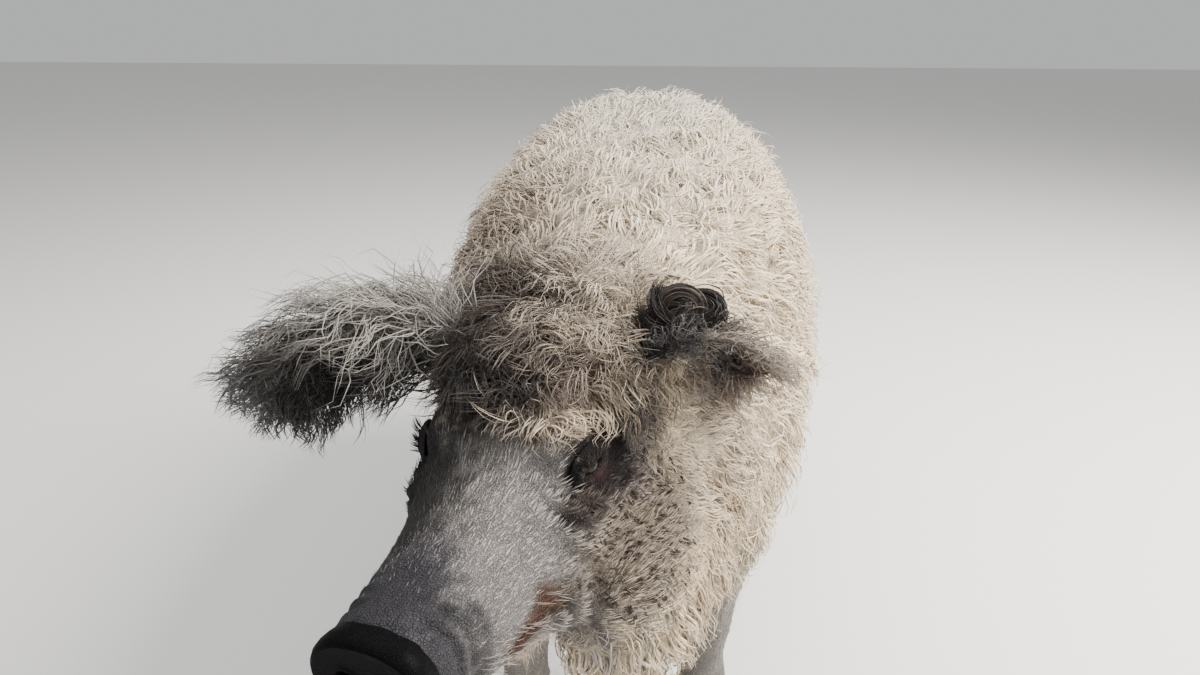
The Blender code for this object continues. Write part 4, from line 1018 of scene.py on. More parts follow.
horn, n = material_of("worn_horn", 0.5, Specular_IOR_Level=0.4)
bands = n.noise(n.worked("VectorMath", "MULTIPLY", n.place(), (1.0, 1.0, 5.0))["Vector"], 110.0, 5.0)
banded = n.mix(n.spread(bands, 0.35, 0.65), (0.030, 0.026, 0.024, 1), (0.105, 0.088, 0.074, 1))
dirt = n.spread(n.noise(n.place(), 90.0, 4.0), 0.52, 0.75, 0.0, 0.45)
n.paint(n.mix(dirt, banded, (0.15, 0.12, 0.09, 1)))
n.bump(bands, 0.0008)
for leg, *_ in LEGS:
    for toe in ("inner", "outer"):
        name = "claw_" + leg + "_" + toe
        low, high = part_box(name)
        x, y = (low.x + high.x) / 2, (low.y + high.y) / 2
        rings = []
        for i, (z, wide, long, back, nip) in enumerate(between(CLAW, 5)):
            growth = 1 + RING_DEPTH * math.sin(i * 1.9) * (0 < i < LAST_RING)
            half = long * growth
            ring = oval(Vector((x, y + back, 0)), RIGHT, BACK, wide * growth, half, half, 2.25, CLAW_SIDES)
            for p in ring:
                ahead = (y + back - p.y) / long
                p.z = z * (1 + HEEL_DROP * ahead)
                p.x = x + (p.x - x) * (1 - nip * max(0, ahead) ** 2)
            rings.append(ring)
        bm = bmesh.new()
        loft(bm, rings)
        finish(piece_of("horn_" + name, bm), horn, "horn", name)

# Each spare claw is a small blunt cone that hangs back and outwards, given by the distance of its sections
# from the root and their radius.
DEWCLAW = (
    (-0.008, 0.0070), (0.002, 0.0088), (0.012, 0.0088), (0.020, 0.0074), (0.026, 0.0050), (0.029, 0.0022),
)
DEWCLAW_WAY, DEWCLAW_LENGTH = Vector((0.15, 0.60, -0.78)), 0.030
for leg, _, leg_side, _ in LEGS:
    for toe, toe_side in (("inner", -leg_side), ("outer", leg_side)):
        name = "dewclaw_" + leg + "_" + toe
        low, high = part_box(name)
        along = Vector((toe_side * DEWCLAW_WAY.x, DEWCLAW_WAY.y, DEWCLAW_WAY.z)).normalized()
        tip = Vector(((low.x + high.x) / 2 + toe_side * 0.002, high.y - 0.003, low.z + 0.001))
        bm = bmesh.new()
        loft(bm, [
            round_ring(tip - along * (DEWCLAW_LENGTH - reach), along, radius, 18)
            for reach, radius in between(DEWCLAW, 3)
        ])
        finish(piece_of("horn_" + name, bm), horn, "horn", name)

# The fleece: cream wool, felted and close on back, flanks, belly, neck and hams. Broad curled locks lie on
# the skin and shade it, and fine wiry curls stand out of them.

# How deep a strand's root sits under the skin, and the side of its patch in the unwrap.
SINK, PATCH = 0.002, 0.003


def roots_on(obj, wanted, dense, seed):
    """Seeded places spread over a piece, with their normals, as thick as dense says."""
    mesh = obj.data
    mesh.calc_loop_triangles()
    corners = np.empty(len(mesh.loop_triangles) * 3, np.int32)
    mesh.loop_triangles.foreach_get("vertices", corners)
    corners = corners.reshape(-1, 3)
    points, normals = points_of(obj), normals_of(obj)
    a, b, c = (points[corners[:, i]] for i in range(3))
    area = np.linalg.norm(np.cross(b - a, c - a), axis=1) / 2
    weights = np.cumsum(area * dense((a + b + c) / 3, normals[corners[:, 0]], corners))
    draw = np.random.default_rng(seed)
    picks = (np.arange(wanted) + draw.random(wanted)) / wanted * weights[-1]
    chosen = np.minimum(np.searchsorted(weights, picks), len(corners) - 1)
    u, v = draw.random((2, wanted))
    u, v = np.where(u + v > 1, 1 - u, u), np.where(u + v > 1, 1 - v, v)
    shares = np.stack([1 - u - v, u, v], axis=1)[:, :, None]
    places = (points[corners[chosen]] * shares).sum(axis=1)
    facing = (normals[corners[chosen]] * shares).sum(axis=1)
    return places, facing / np.linalg.norm(facing, axis=1)[:, None]


def unit(rows):
    """The same ways with a length of 1."""
    return rows / np.maximum(np.linalg.norm(rows, axis=-1, keepdims=True), 1e-9)


def leaders_of(roots, tuft, draw):
    """For each strand the one it follows: the nearest of a few chosen at random, one for each tuft."""
    chosen = draw.choice(len(roots), max(1, len(roots) // tuft), replace=False)
    tree = KDTree(len(chosen))
    for strand in chosen:
        tree.insert(roots[strand], int(strand))
    tree.balance()
    return np.array([tree.find(root)[1] for root in roots])


def strands(name, roots, normals, lies, tones, unwrap, size, lift, curl, rings, seed, root_shade=0.6, tuft=1,
            pull=0.0):
    """One mesh of closed, tapered, three-sided strands that leave the skin, curl and lie down again. The
    strands of a tuft curl alike, and their tips are pulled together. Size is a length, a width and a
    thickness, curl the reach of the curls and their number."""
    draw = np.random.default_rng(seed)
    count = len(roots)
    leader = leaders_of(roots, tuft, draw)

    def drawn(low, high):
        """A random factor for each strand, mostly that of its leader."""
        shares = draw.uniform(low, high, count)
        return 0.75 * shares[leader] + 0.25 * shares

    lengths, widths, thicknesses = (np.broadcast_to(v, count) * drawn(0.72, 1.28) for v in size)
    lifts = np.broadcast_to(lift, count) * drawn(0.6, 1.35)
    waves = np.broadcast_to(curl[0], count) * drawn(0.5, 1.4)
    spins = curl[1] * drawn(0.6, 1.35) * draw.choice((-1, 1), count)[leader] * 2 * math.pi
    starts = draw.uniform(0, 2 * math.pi, count)[leader] + draw.normal(0, 0.5, count)
    lies = unit(lies - normals * (lies * normals).sum(axis=1)[:, None])
    across = np.cross(normals, lies)

    steps = np.arange(rings + 1) / rings
    slope = lifts[:, None] * (1 - 0.95 * steps)
    stride = (lengths / rings)[:, None]
    ahead = (np.cumsum(np.cos(slope), axis=1) - np.cos(slope[:, :1])) * stride
    height = (np.cumsum(np.sin(slope), axis=1) - np.sin(slope[:, :1])) * stride
    wave = waves[:, None] * steps ** 0.8
    turned = spins[:, None] * steps + starts[:, None]
    aside = wave * (np.cos(turned) - np.cos(starts)[:, None])
    height = height + 0.8 * wave * (np.sin(turned) - np.sin(starts)[:, None])
    height = np.maximum(height, 0.02 * lengths[:, None] * steps) - SINK * (1 - steps)
    centres = (
        roots[:, None] + lies[:, None] * ahead[..., None] + normals[:, None] * height[..., None]
        + across[:, None] * aside[..., None]
    )
    centres = centres + (centres[leader] - centres) * (pull * steps ** 1.4)[None, :, None]

    along = unit(np.gradient(centres, axis=1))
    wide = unit(np.cross(normals[:, None], along) + 0.3 * across[:, None])
    thick = unit(np.cross(along, wide))
    roll = draw.normal(0, 0.45, count)[:, None, None]
    wide, thick = wide * np.cos(roll) + thick * np.sin(roll), thick * np.cos(roll) - wide * np.sin(roll)
    taper = ((1 - steps ** 2.2) * (0.6 + 0.8 * steps))[None, :, None]
    half = wide * taper * (widths / 2)[:, None, None]
    top = thick * taper * thicknesses[:, None, None]
    sections = np.stack([centres - half, centres + half, centres + top], axis=2)[:, :rings]
    points = np.concatenate([sections.reshape(count, -1, 3), centres[:, -1:]], axis=1)

    faces, spots = [(0, 2, 1)], [((0, 0), (0.6, 0), (0.3, 0))]
    for ring in range(rings):
        for i in range(3):
            j = (i + 1) % 3
            a, b, low, high = ring * 3 + i, ring * 3 + j, ring / rings, (ring + 1) / rings
            if ring == rings - 1:
                faces.append((a, b, rings * 3))
                spots.append(((i / 3, low), ((i + 1) / 3, low), ((i + 0.5) / 3, high)))
            else:
                faces += [(a, b, b + 3), (a, b + 3, a + 3)]
                spots.append(((i / 3, low), ((i + 1) / 3, low), ((i + 1) / 3, high)))
                spots.append(((i / 3, low), ((i + 1) / 3, high), (i / 3, high)))
    per_strand = rings * 3 + 1
    corners = (np.array(faces)[None] + (np.arange(count) * per_strand)[:, None, None]).ravel()

    mesh = bpy.data.meshes.new(name)
    mesh.vertices.add(count * per_strand)
    mesh.vertices.foreach_set("co", points.astype(np.float32).ravel())
    mesh.loops.add(len(corners))
    mesh.loops.foreach_set("vertex_index", corners.astype(np.int32))
    mesh.polygons.add(len(corners) // 3)
    mesh.polygons.foreach_set("loop_start", np.arange(0, len(corners), 3, dtype=np.int32))
    mesh.polygons.foreach_set("use_smooth", np.ones(len(corners) // 3, bool))
    mesh.update(calc_edges=True)

    places = unwrap(roots)[:, None, None] + PATCH * (np.array(spots)[None] - 0.5)
    mesh.uv_layers.new(name="OFBake").data.foreach_set("uv", places.astype(np.float32).ravel())
    made = placed(name, mesh)

    on_ring = np.append(np.repeat(steps[:-1], 3), 1.0)
    # Each strand is painted darker towards its root, as painted shade down in the coat, and a little lighter
    # towards its tip.
    shade = root_shade + (1.08 - root_shade) * np.minimum(1, on_ring * 1.6)
    uneven = draw.normal(1, 0.09, count).clip(0.75, 1.25)
    shades = shade[None] * (0.5 * uneven + 0.5 * uneven[leader])[:, None]
    colour_in(made, (tones[:, None] * shades[..., None]).reshape(-1, 3).clip(0, 1))
    from_side = np.append(np.tile((0.0, 1.0, 0.5), rings), 0.5)
    fibre = np.empty((count, per_strand, 3), np.float32)
    fibre[..., 0] = from_side[None] * widths[:, None]
    fibre[..., 1] = on_ring[None] * lengths[:, None]
    fibre[..., 2] = draw.random(count)[:, None]
    store(made, "fibre", "FLOAT_VECTOR", fibre)
    return made


def body_lie(points, normals):
    """Along the back and, on the sides, down and back, straying in slow swirls."""
    side = np.abs(normals[:, 0])
    along = np.outer(np.ones(len(points)), BACK) * 0.75 - np.outer(0.15 + 0.85 * side, UP)
    return unit(along) + 0.55 * swirls(points, 0.10, 31)


# Height of the line through the trunk that its unwrap goes round.
TRUNK_MIDDLE = 0.53


def trunk_spread(points):
    """Unwrap of the trunk about its long middle line."""
    from_stand = points - STANDING
    around = np.arctan2(from_stand[:, 0], from_stand[:, 2] - TRUNK_MIDDLE) / (2 * math.pi) + 0.5
    along = (from_stand[:, 1] + 0.70) / 1.40
    return np.stack([around, along], axis=1) * 0.98 + 0.01


hide_regions = stored(hide, "region", np.int32)
# The trunk's wool gives way to the neck's this far forward of the poll, where both overlap a little.
WOOL_SEAM, SEAM_OVERLAP = -0.045, 0.012


def woolly(points, normals, corners):
    """How thick the fleece grows: on the trunk behind the head, thinning out down the legs."""
    on_trunk = hide_regions[corners[:, 0]] == ON_TRUNK
    behind = head_measures(points)[:, 0] < WOOL_SEAM
    under = 1 - 0.6 * np.clip(-normals[:, 2], 0, 1)
    return on_trunk * behind * above_legs(points) * under


def wool_length(points):
    """The fleece is full on the trunk and shortens down the legs."""
    return 0.35 + 0.65 * above_legs(points, 0.16)


# Wool and hair: strand by strand, the tone of the place with finer fibres drawn along it.
wool_fibres, into, out = group_of(
    "wool_fibres",
    (("Tone", "Color", (0.5, 0.5, 0.5, 1)), ("Fibre", "Vector", None), ("Fineness", "Float", 900.0),
     ("Contrast", "Float", 0.3)),
    (("Colour", "Color", None), ("Height", "Float", None)),
)
n = Nodes(wool_fibres)
lengthways = n.worked("VectorMath", "MULTIPLY", into.outputs["Fibre"], (1.0, 0.07, 1.0))["Vector"]
streak = n.spread(n.noise(lengthways, into.outputs["Fineness"], 3.0), 0.3, 0.7)
contrast = into.outputs["Contrast"]
light = n.number("ADD", 1.0, n.number("MULTIPLY", contrast, 0.6))
n.feed(out.inputs["Colour"],
       n.shaded(into.outputs["Tone"], streak, n.number("SUBTRACT", 1.0, contrast), light))
n.feed(out.inputs["Height"], streak)


def fibre_material(name, fineness, contrast, roughness, bump, **constants):
    """Hair whose colour comes from the strand and whose grain runs along it."""
    made, n = material_of(name, roughness, **constants)
    grain = n.group(wool_fibres, Tone=n.attribute("tone"), Fibre=n.attribute("fibre", "Vector"),
                    Fineness=fineness, Contrast=contrast)
    n.wear(grain, bump)
    return made


cream_wool = fibre_material("cream_wool", 1100.0, 0.30, 0.85, 0.0006, Specular_IOR_Level=0.25,
                            Sheen_Weight=0.25, Sheen_Roughness=0.5)


def coat(name, material, slot, roots, pieces, tones, lies, unwrap, size, lift, curl, rings, seed, **more):
    """Lays strands over the given roots, as a few pieces that each hold one stretch of them."""
    at, out_of = roots
    rows = [np.broadcast_to(value, len(at)) for value in (*size, lift, curl[0])]
    for i, part in enumerate(np.array_split(np.argsort(at[:, 1]), pieces)):
        *own_size, own_lift, own_curl = (row[part] for row in rows)
        piece = strands(
            name + ("_" + str(i + 1) if pieces > 1 else ""), at[part], out_of[part], lies[part], tones[part],
            unwrap, own_size, own_lift, (own_curl, curl[1]), rings, seed + i, **more,
        )
        finish(piece, material, slot)


def hair_tones(points, dark_share, seed):
    """The markings, a little uneven, with some hairs dark."""
    tones = markings(points)[1] * (1 + 0.07 * mottle(points, 0.05, 71))[:, None]
    dark = np.random.default_rng(seed).random(len(points)) < dark_share
    tones[dark] *= 0.42
    return tones


roots = roots_on(hide, 12600, woolly, 101)
full = wool_length(roots[0])
coat("wool_locks", cream_wool, "fleece", roots, 3, hair_tones(roots[0], 0.02, 5), body_lie(*roots),
     trunk_spread, (0.041 * full, 0.0044, 0.0013), math.radians(20), (0.0064 * full, 0.85), 5, 200,
     root_shade=0.86, tuft=6, pull=0.55)

roots = roots_on(hide, 8400, woolly, 103)
full = wool_length(roots[0])
stray = np.random.default_rng(7).normal(0, 0.45, (len(full), 3))
coat("wool_curls", cream_wool, "fleece", roots, 2, hair_tones(roots[0], 0.12, 6), body_lie(*roots) + stray,
     trunk_spread, (0.048 * full, 0.0017, 0.0010), math.radians(34), (0.0074 * full, 0.9), 5, 310,
     root_shade=0.85, tuft=3, pull=0.4)

# Neck and cheeks: the fleece goes on over the nape, round the throat and the jowls, and shortens towards the
# face until it lies flat.
NECK_ENDS, JOWL_REACH = 0.135, 0.085


def head_spread(points):
    """Unwrap of the head about its own forward line."""
    measures = head_measures(points)
    around = np.arctan2(measures[:, 1], measures[:, 2] + 0.02) / (2 * math.pi) + 0.5
    along = (measures[:, 0] + 0.10) / 0.50
    return np.stack([around, along], axis=1) * 0.98 + 0.01


def on_poll(measures):
    """Share of the long fluff between and before the ears, which hangs over the left eye."""
    top = apart(measures, (0.040, 0.006, 0.115), (0.074, 0.125, 0.085))
    fringe = apart(measures, (0.104, 0.032, 0.096), (0.036, 0.034, 0.045))
    return falls(np.minimum(top, fringe), 1.12, 0.24)


def by_eye(measures):
    """Share of the bare skin round an eye."""
    bare = np.zeros(len(measures))
    for middle, *_ in eyes.values():
        away = apart(measures, head_measures(np.array([middle]))[0], (0.031, 0.032, 0.025))
        bare = np.maximum(bare, falls(away, 1.1, 0.2))
    return bare


def hairy_head(measures, corners):
    """The parts of the head's skin that grow hair: all but the bare rings round the eyes."""
    return (hide_regions[corners[:, 0]] == ON_HEAD) * (1 - by_eye(measures))


def on_neck(points, normals, corners):
    """How thick the wool grows on neck and cheeks, further forward under the jaw."""
    measures = head_measures(points)
    ends = NECK_ENDS + JOWL_REACH * falls(measures[:, 2], -0.085, 0.03)
    stretch = (measures[:, 0] > WOOL_SEAM - SEAM_OVERLAP) * falls(measures[:, 0], ends, 0.06)
    return hairy_head(measures, corners) * stretch * (1 - 0.8 * on_poll(measures))


def neck_length(points):
    """Shorter towards the face, and longest where the jowl hangs."""
    measures = head_measures(points)
    hanging = falls(measures[:, 2], -0.105, 0.05) * falls(measures[:, 0], 0.215, 0.05)
    return np.maximum(np.clip((0.125 - measures[:, 0]) / 0.17, 0.26, 1), 1.35 * hanging)


def neck_lie(points, normals):
    """Back along the neck, down over its sides and the jowls."""
    side = np.abs(normals @ HEAD_WAYS[1])
    under = falls(head_measures(points)[:, 2], -0.080, 0.06)
    along = -np.outer(1 - 0.7 * under, HEAD_FORWARD) - np.outer(0.2 + 0.7 * side + 1.5 * under, HEAD_UP)
    return along + 0.5 * swirls(points, 0.08, 41)


roots = roots_on(hide, 3600, on_neck, 121)
full = neck_length(roots[0])
coat("neck_locks", cream_wool, "fleece", roots, 1, hair_tones(roots[0], 0.04, 8), neck_lie(*roots),
     head_spread, (0.040 * full, 0.0020 + 0.0030 * full, 0.0008 + 0.0009 * full),
     np.radians(14 + 10 * full), (0.0048 * full, 1.1), 4, 220, root_shade=0.80, tuft=5, pull=0.5)
roots = roots_on(hide, 3900, on_neck, 123)
full = neck_length(roots[0])
stray = np.random.default_rng(9).normal(0, 0.35, (len(full), 3))
coat("neck_curls", cream_wool, "fleece", roots, 1, hair_tones(roots[0], 0.12, 10), neck_lie(*roots) + stray,
     head_spread, (0.046 * full, 0.0015, 0.0009), np.radians(20 + 20 * full), (0.0055 * full, 1.3), 5, 222,
     root_shade=0.78, tuft=3, pull=0.4)

# The poll: a mop of long soft curls, beige and brown-black, that falls over the forehead and the left eye.
poll_fluff = fibre_material("poll_fluff", 1300.0, 0.35, 0.85, 0.0005, Specular_IOR_Level=0.25,
                            Sheen_Weight=0.2, Sheen_Roughness=0.5)


def on_mop(points, normals, corners):
    measures = head_measures(points)
    return hairy_head(measures, corners) * on_poll(measures) * (measures[:, 2] > 0.02)


def mop_lie(points):
    """Forward and outwards from the middle of the poll, in swirls."""
    measures = head_measures(points)
    ahead = np.clip((measures[:, 0] + 0.02) / 0.05, -1, 1)
    along = np.outer(0.8 * ahead, HEAD_FORWARD) + np.outer(6 * measures[:, 1], HEAD_LEFT)
    return along - 0.35 * np.array(HEAD_UP) + 0.9 * swirls(points, 0.055, 51)


def mop_tones(points, dark_share, seed):
    """The markings, in lighter and darker locks."""
    return hair_tones(points, dark_share, seed) * (1 + 0.22 * mottle(points, 0.024, 77))[:, None]


roots = roots_on(hide, 2300, on_mop, 131)
coat("mop_locks", poll_fluff, "fleece", roots, 1, mop_tones(roots[0], 0.04, 12), mop_lie(roots[0]),
     head_spread, (0.046, 0.0023, 0.0011), math.radians(30), (0.0095, 0.85), 7, 230, root_shade=0.7, tuft=14,
     pull=0.55)
roots = roots_on(hide, 3500, on_mop, 133)
stray = np.random.default_rng(11).normal(0, 0.35, (len(roots[0]), 3))
coat("mop_curls", poll_fluff, "fleece", roots, 1, mop_tones(roots[0], 0.10, 14), mop_lie(roots[0]) + stray,
     head_spread, (0.052, 0.0011, 0.0007), math.radians(40), (0.0105, 1.0), 7, 232, root_shade=0.7, tuft=9,
     pull=0.45)

# The face: short stiff hair that lies back flat from the disc over dark skin, shortest on the muzzle, with
# dark speckles on the cheeks.
face_hair = fibre_material("face_hair", 1500.0, 0.25, 0.75, 0.0003, Specular_IOR_Level=0.2)
FACE_STARTS, FACE_ENDS = 0.335, 0.03


def on_face(points, normals, corners):
    measures = head_measures(points)
    stretch = falls(measures[:, 0], FACE_STARTS, 0.05) * rises(measures[:, 0], FACE_ENDS, 0.06)
    return hairy_head(measures, corners) * stretch * (1 - on_poll(measures))


def face_lie(points):
    return 0.22 * swirls(points, 0.05, 61) - np.array(HEAD_FORWARD)


roots = roots_on(hide, 16500, on_face, 141)
full = np.clip((0.38 - head_measures(roots[0])[:, 0]) / 0.22, 0.45, 1)
coat("face_hair", face_hair, "short_coat", roots, 1, hair_tones(roots[0], 0.06, 16), face_lie(roots[0]),
     head_spread, (0.0160 * full, 0.0013, 0.0006), math.radians(11), (0.0007, 0.5), 2, 240, root_shade=0.85)

# Dark specks on both cheeks, each a small tuft of short black-brown hair.
SPECKS, SPECK_HAIRS = 400, 5


def on_cheeks(points, normals, corners):
    measures = head_measures(points)
    return hairy_head(measures, corners) * np.clip(1.15 - from_cheek(measures), 0, 0.6)


middles, facing = roots_on(hide, SPECKS, on_cheeks, 161)
draw = np.random.default_rng(162)
at = np.repeat(middles, SPECK_HAIRS, axis=0) + draw.normal(0, 0.0013, (SPECKS * SPECK_HAIRS, 3))
facing = np.repeat(facing, SPECK_HAIRS, axis=0)
coat("cheek_specks", face_hair, "short_coat", (at, facing), 1, np.tile((0.040, 0.030, 0.026), (len(at), 1)),
     neck_lie(at, facing), head_spread, (0.0095, 0.0019, 0.0008), math.radians(24), (0.0007, 0.5), 2, 163,
     root_shade=0.85, tuft=SPECK_HAIRS, pull=0.4)

# The legs: short flat hair down to the coronets.
leg_hair = fibre_material("leg_hair", 1500.0, 0.25, 0.75, 0.0003, Specular_IOR_Level=0.3)
CORONET, LEG_TOP = 0.044, 0.34


def on_legs(points, normals, corners):
    height = points[:, 2] - STAND.z
    return (hide_regions[corners[:, 0]] == ON_TRUNK) * (height > CORONET) * falls(height, LEG_TOP, 0.06)


def leg_spread(points):
    """Unwrap of the four legs side by side, each about its own upright line."""
    from_stand = points - STANDING
    hind = from_stand[:, 1] > 0.05
    left = from_stand[:, 0] > 0
    middle_x = np.where(left, 0.125, -0.125)
    middle_y = np.where(hind, 0.42, -0.31)
    around = np.arctan2(from_stand[:, 0] - middle_x, from_stand[:, 1] - middle_y) / (2 * math.pi) + 0.5
    column = (hind * 2 + left + 0.02 + 0.96 * around) / 4
    return np.stack([column, from_stand[:, 2] / 0.40 * 0.98 + 0.01], axis=1)


roots = roots_on(hide, 8400, on_legs, 151)
short = np.clip((roots[0][:, 2] - STAND.z) / 0.30, 0.35, 1)
coat("leg_hair", leg_hair, "short_coat", roots, 1, hair_tones(roots[0], 0.06, 18),
     0.25 * swirls(roots[0], 0.05, 65) - np.array(UP), leg_spread, (0.022 * short, 0.0017, 0.0007),
     math.radians(12), (0.0010, 0.6), 2, 250, root_shade=0.9)

# The ears' hair: long loose fluff in soft tufts all over them, which stands up on the upper edge of the right
# ear and hangs from its lower one.
ear_fluff = fibre_material("ear_fluff", 1300.0, 0.3, 0.85, 0.0005, Specular_IOR_Level=0.25,
                           Sheen_Weight=0.25, Sheen_Roughness=0.5)
# Number of hairs, a factor for their length, the share of it that is lost towards the tip, the length of the
# hair inside the leaf, and what is added on the upper edge and on the lower one.
EAR_HAIR = {
    "right": (3500, 1.00, -0.25, 0.026, 0.088, 0.060),
    "left": (2200, 1.20, 0.10, 0.046, -0.034, 0.000),
}
OUTSIDE_LENGTH, INSIDE_SHARE, BROAD_SHARE, PALE_SHARE = 0.040, 0.4, 0.25, 0.08
for name, side in SIDES.items():
    count, factor, lost, inside_length, crest_length, fringe_length = EAR_HAIR[name]
    stations = ear_stations(name)
    draw = np.random.default_rng(400 + side)
    share, part = draw.random(count) ** 0.85 * 0.97, draw.uniform(-1, 1, count)
    inside = draw.random(count) < INSIDE_SHARE
    at, out_of, lies = (np.empty((count, 3)) for _ in range(3))
    for i in range(count):
        slide, number = math.modf(share[i] * (len(stations) - 1))
        station, after = stations[int(number)], stations[min(int(number) + 1, len(stations) - 1)]
        _, along, across, inward, _, wrap = station
        angle = wrap * part[i]
        facing = inward * math.cos(angle) - across * math.sin(angle)
        if not inside[i]:
            facing = -facing
        at[i] = ear_point(station, part[i]).lerp(ear_point(after, part[i]), slide) + facing * EAR_WALL / 2
        edge = across * math.copysign(abs(part[i]) ** 2, part[i])
        out_of[i] = (facing + edge * 0.8 * abs(part[i])).normalized()
        hang = 0.35 * share[i] ** 2 + 1.3 * max(0, -part[i]) * (1 - share[i])
        lies[i] = along * (0.8 - 0.65 * max(0, part[i])) + edge - UP * hang
    tones = ear_tones(name, share, part, at)
    spread = np.stack([(side + 1 + 0.04 + 0.92 * (part + 1)) / 4, share * 0.94 + 0.03], axis=1)
    lies += draw.normal(0, 0.22, (count, 3))
    crest = np.clip(part, 0, 1) * np.clip(1.15 - 2.0 * np.abs(share - 0.35), 0, 1)
    fringe = np.clip(-part, 0, 1) * np.clip(1.15 - 2.0 * np.abs(share - 0.20), 0, 1)
    length = np.where(inside, inside_length, OUTSIDE_LENGTH) * (1 - lost * share) * factor
    length = length + crest_length * crest + fringe_length * fringe
    broad = draw.random(count) < BROAD_SHARE
    pale = draw.random(count) < PALE_SHARE
    tones[pale] = tones[pale] * 0.6 + 0.09
    size = length, np.where(broad, 0.0021, 0.0010), np.where(broad, 0.0011, 0.0007)
    piece = strands(
        "ear_fluff_" + name, at, out_of, lies, tones, lambda roots: spread, size,
        np.radians(38 + 44 * crest), (0.0085 + 0.0045 * crest, 1.45), 6, 410 + side, tuft=9, pull=0.5,
    )
    finish(piece, ear_fluff, "ear_hair")

# The left ear's black lock, bent round on itself in a shining loop over its upper side, and the small brown
# curl at its tip. Each lock is a bundle of hairs that follow one bent path.
coil_hair = fibre_material("coil_hair", 900.0, 0.45, 0.55, 0.0006, Specular_IOR_Level=0.25)
# Path to the pig's left, upwards and outwards of the middle, radius of the bundle, its hairs, their colour.
COIL_LOCKS = (
    (((-0.034, -0.022, -0.016), (-0.016, -0.006, -0.010), (0.006, 0.000, -0.009), (0.024, 0.004, -0.012)),
     0.0160, 150, (0.060, 0.046, 0.037)),
    (((-0.038, -0.008, -0.008), (-0.028, -0.019, -0.002), (-0.012, -0.022, 0.000), (0.006, -0.021, 0.000),
      (0.018, -0.016, -0.004)), 0.0075, 80, (0.034, 0.026, 0.022)),
    (((-0.024, -0.008, -0.004), (-0.019, 0.009, 0.001), (-0.007, 0.016, 0.003), (0.007, 0.013, 0.004),
      (0.014, 0.004, 0.003), (0.012, -0.007, 0.002), (0.003, -0.013, 0.001), (-0.006, -0.010, 0.001),
      (-0.008, -0.002, 0.001)), 0.0068, 90, (0.100, 0.079, 0.064)),
    (((-0.004, -0.006, 0.001), (0.006, 0.003, 0.004), (0.017, 0.004, 0.005), (0.021, -0.003, 0.004),
      (0.015, -0.012, 0.002)), 0.0050, 40, (0.160, 0.126, 0.100)),
    (((0.008, 0.015, 0.001), (0.021, 0.013, 0.004), (0.030, 0.006, 0.006), (0.029, -0.003, 0.007),
      (0.019, -0.012, 0.007), (0.003, -0.017, 0.007), (-0.012, -0.013, 0.006), (-0.025, -0.003, 0.004),
      (-0.029, 0.012, 0.003), (-0.025, 0.026, 0.000)), 0.0052, 100, (0.019, 0.015, 0.013)),
)
TIP_CURL = (
    (((-0.030, -0.007, -0.010), (-0.010, -0.009, -0.002), (0.004, -0.009, 0.002), (0.014, -0.003, 0.002),
      (0.016, 0.006, 0.001), (0.011, 0.012, 0.000)), 0.0030, 34, (0.085, 0.060, 0.045)),
)
LOCK_SIDES, LOCK_FLATNESS = 3, 0.7


def hair_locks(name, middle, ways, locks, width, seed):
    """Closed, tapered hairs in bundles, with one colour for each hair."""
    draw = np.random.default_rng(seed)
    middle, ways = np.array(middle), np.array(ways)
    angles = np.arange(LOCK_SIDES) * 2 * math.pi / LOCK_SIDES
    bm = bmesh.new()
    tones, fibres, patches = [], [], []
    for number, (path, radius, hairs, tone) in enumerate(locks):
        path = np.array(between(path, 3))
        steps = np.linspace(0, 1, len(path))
        close_up = (1 - steps) ** 0.4 * (0.7 + 0.6 * steps)
        for _ in range(hairs):
            stray = draw.normal(0, 0.16)
            turned = np.array((
                (math.cos(stray), math.sin(stray), 0), (-math.sin(stray), math.cos(stray), 0), (0, 0, 1),
            ))
            line = middle + path * draw.uniform(0.84, 1.14) @ turned @ ways
            along = unit(np.gradient(line, axis=0))
            first = unit(np.cross(ways[2], along))
            second = np.cross(along, first)
            off = draw.normal(0, 0.5, 2)
            twist = draw.normal(0, 0.8) * steps
            aside = off[0] * np.cos(twist) - off[1] * np.sin(twist)
            over = off[0] * np.sin(twist) + off[1] * np.cos(twist)
            centres = line + (first * aside[:, None] + second * over[:, None]) * (radius * close_up)[:, None]
            half = width / 2 * (0.5 + 0.5 * np.minimum(1, 5 * steps)) * (1 - steps ** 3)
            rings = [
                [Vector(c + (f * math.cos(a) + s * LOCK_FLATNESS * math.sin(a)) * r) for a in angles]
                for c, f, s, r in zip(centres[:-1], first, second, half)
            ]
            loft(bm, rings + [[Vector(centres[-1])]])
            shade, strand = draw.uniform(0.55, 1.5), draw.random()
            place = ((number + 0.5 + 0.15 * off[0]) / len(locks), 0.5 + 0.15 * off[1])
            for step in steps[:-1]:
                for turn in angles:
                    fibres.append((turn * width, step * 0.1, strand))
                    patches.append((place[0] + PATCH * turn / 7, place[1] + PATCH * step))
            fibres.append((0.0, 0.1, strand))
            patches.append((place[0], place[1] + PATCH))
            tones += [np.array(tone) * shade] * (len(steps[:-1]) * LOCK_SIDES + 1)
    piece = piece_of(name, bm)
    colour_in(piece, np.array(tones))
    store(piece, "fibre", "FLOAT_VECTOR", fibres)
    vertices = np.empty(len(piece.data.loops), np.int32)
    piece.data.loops.foreach_get("vertex_index", vertices)
    layer = piece.data.uv_layers.new(name="OFBake")
    layer.data.foreach_set("uv", np.array(patches, np.float32)[vertices].ravel())
    finish(piece, coil_hair, "ear_hair")


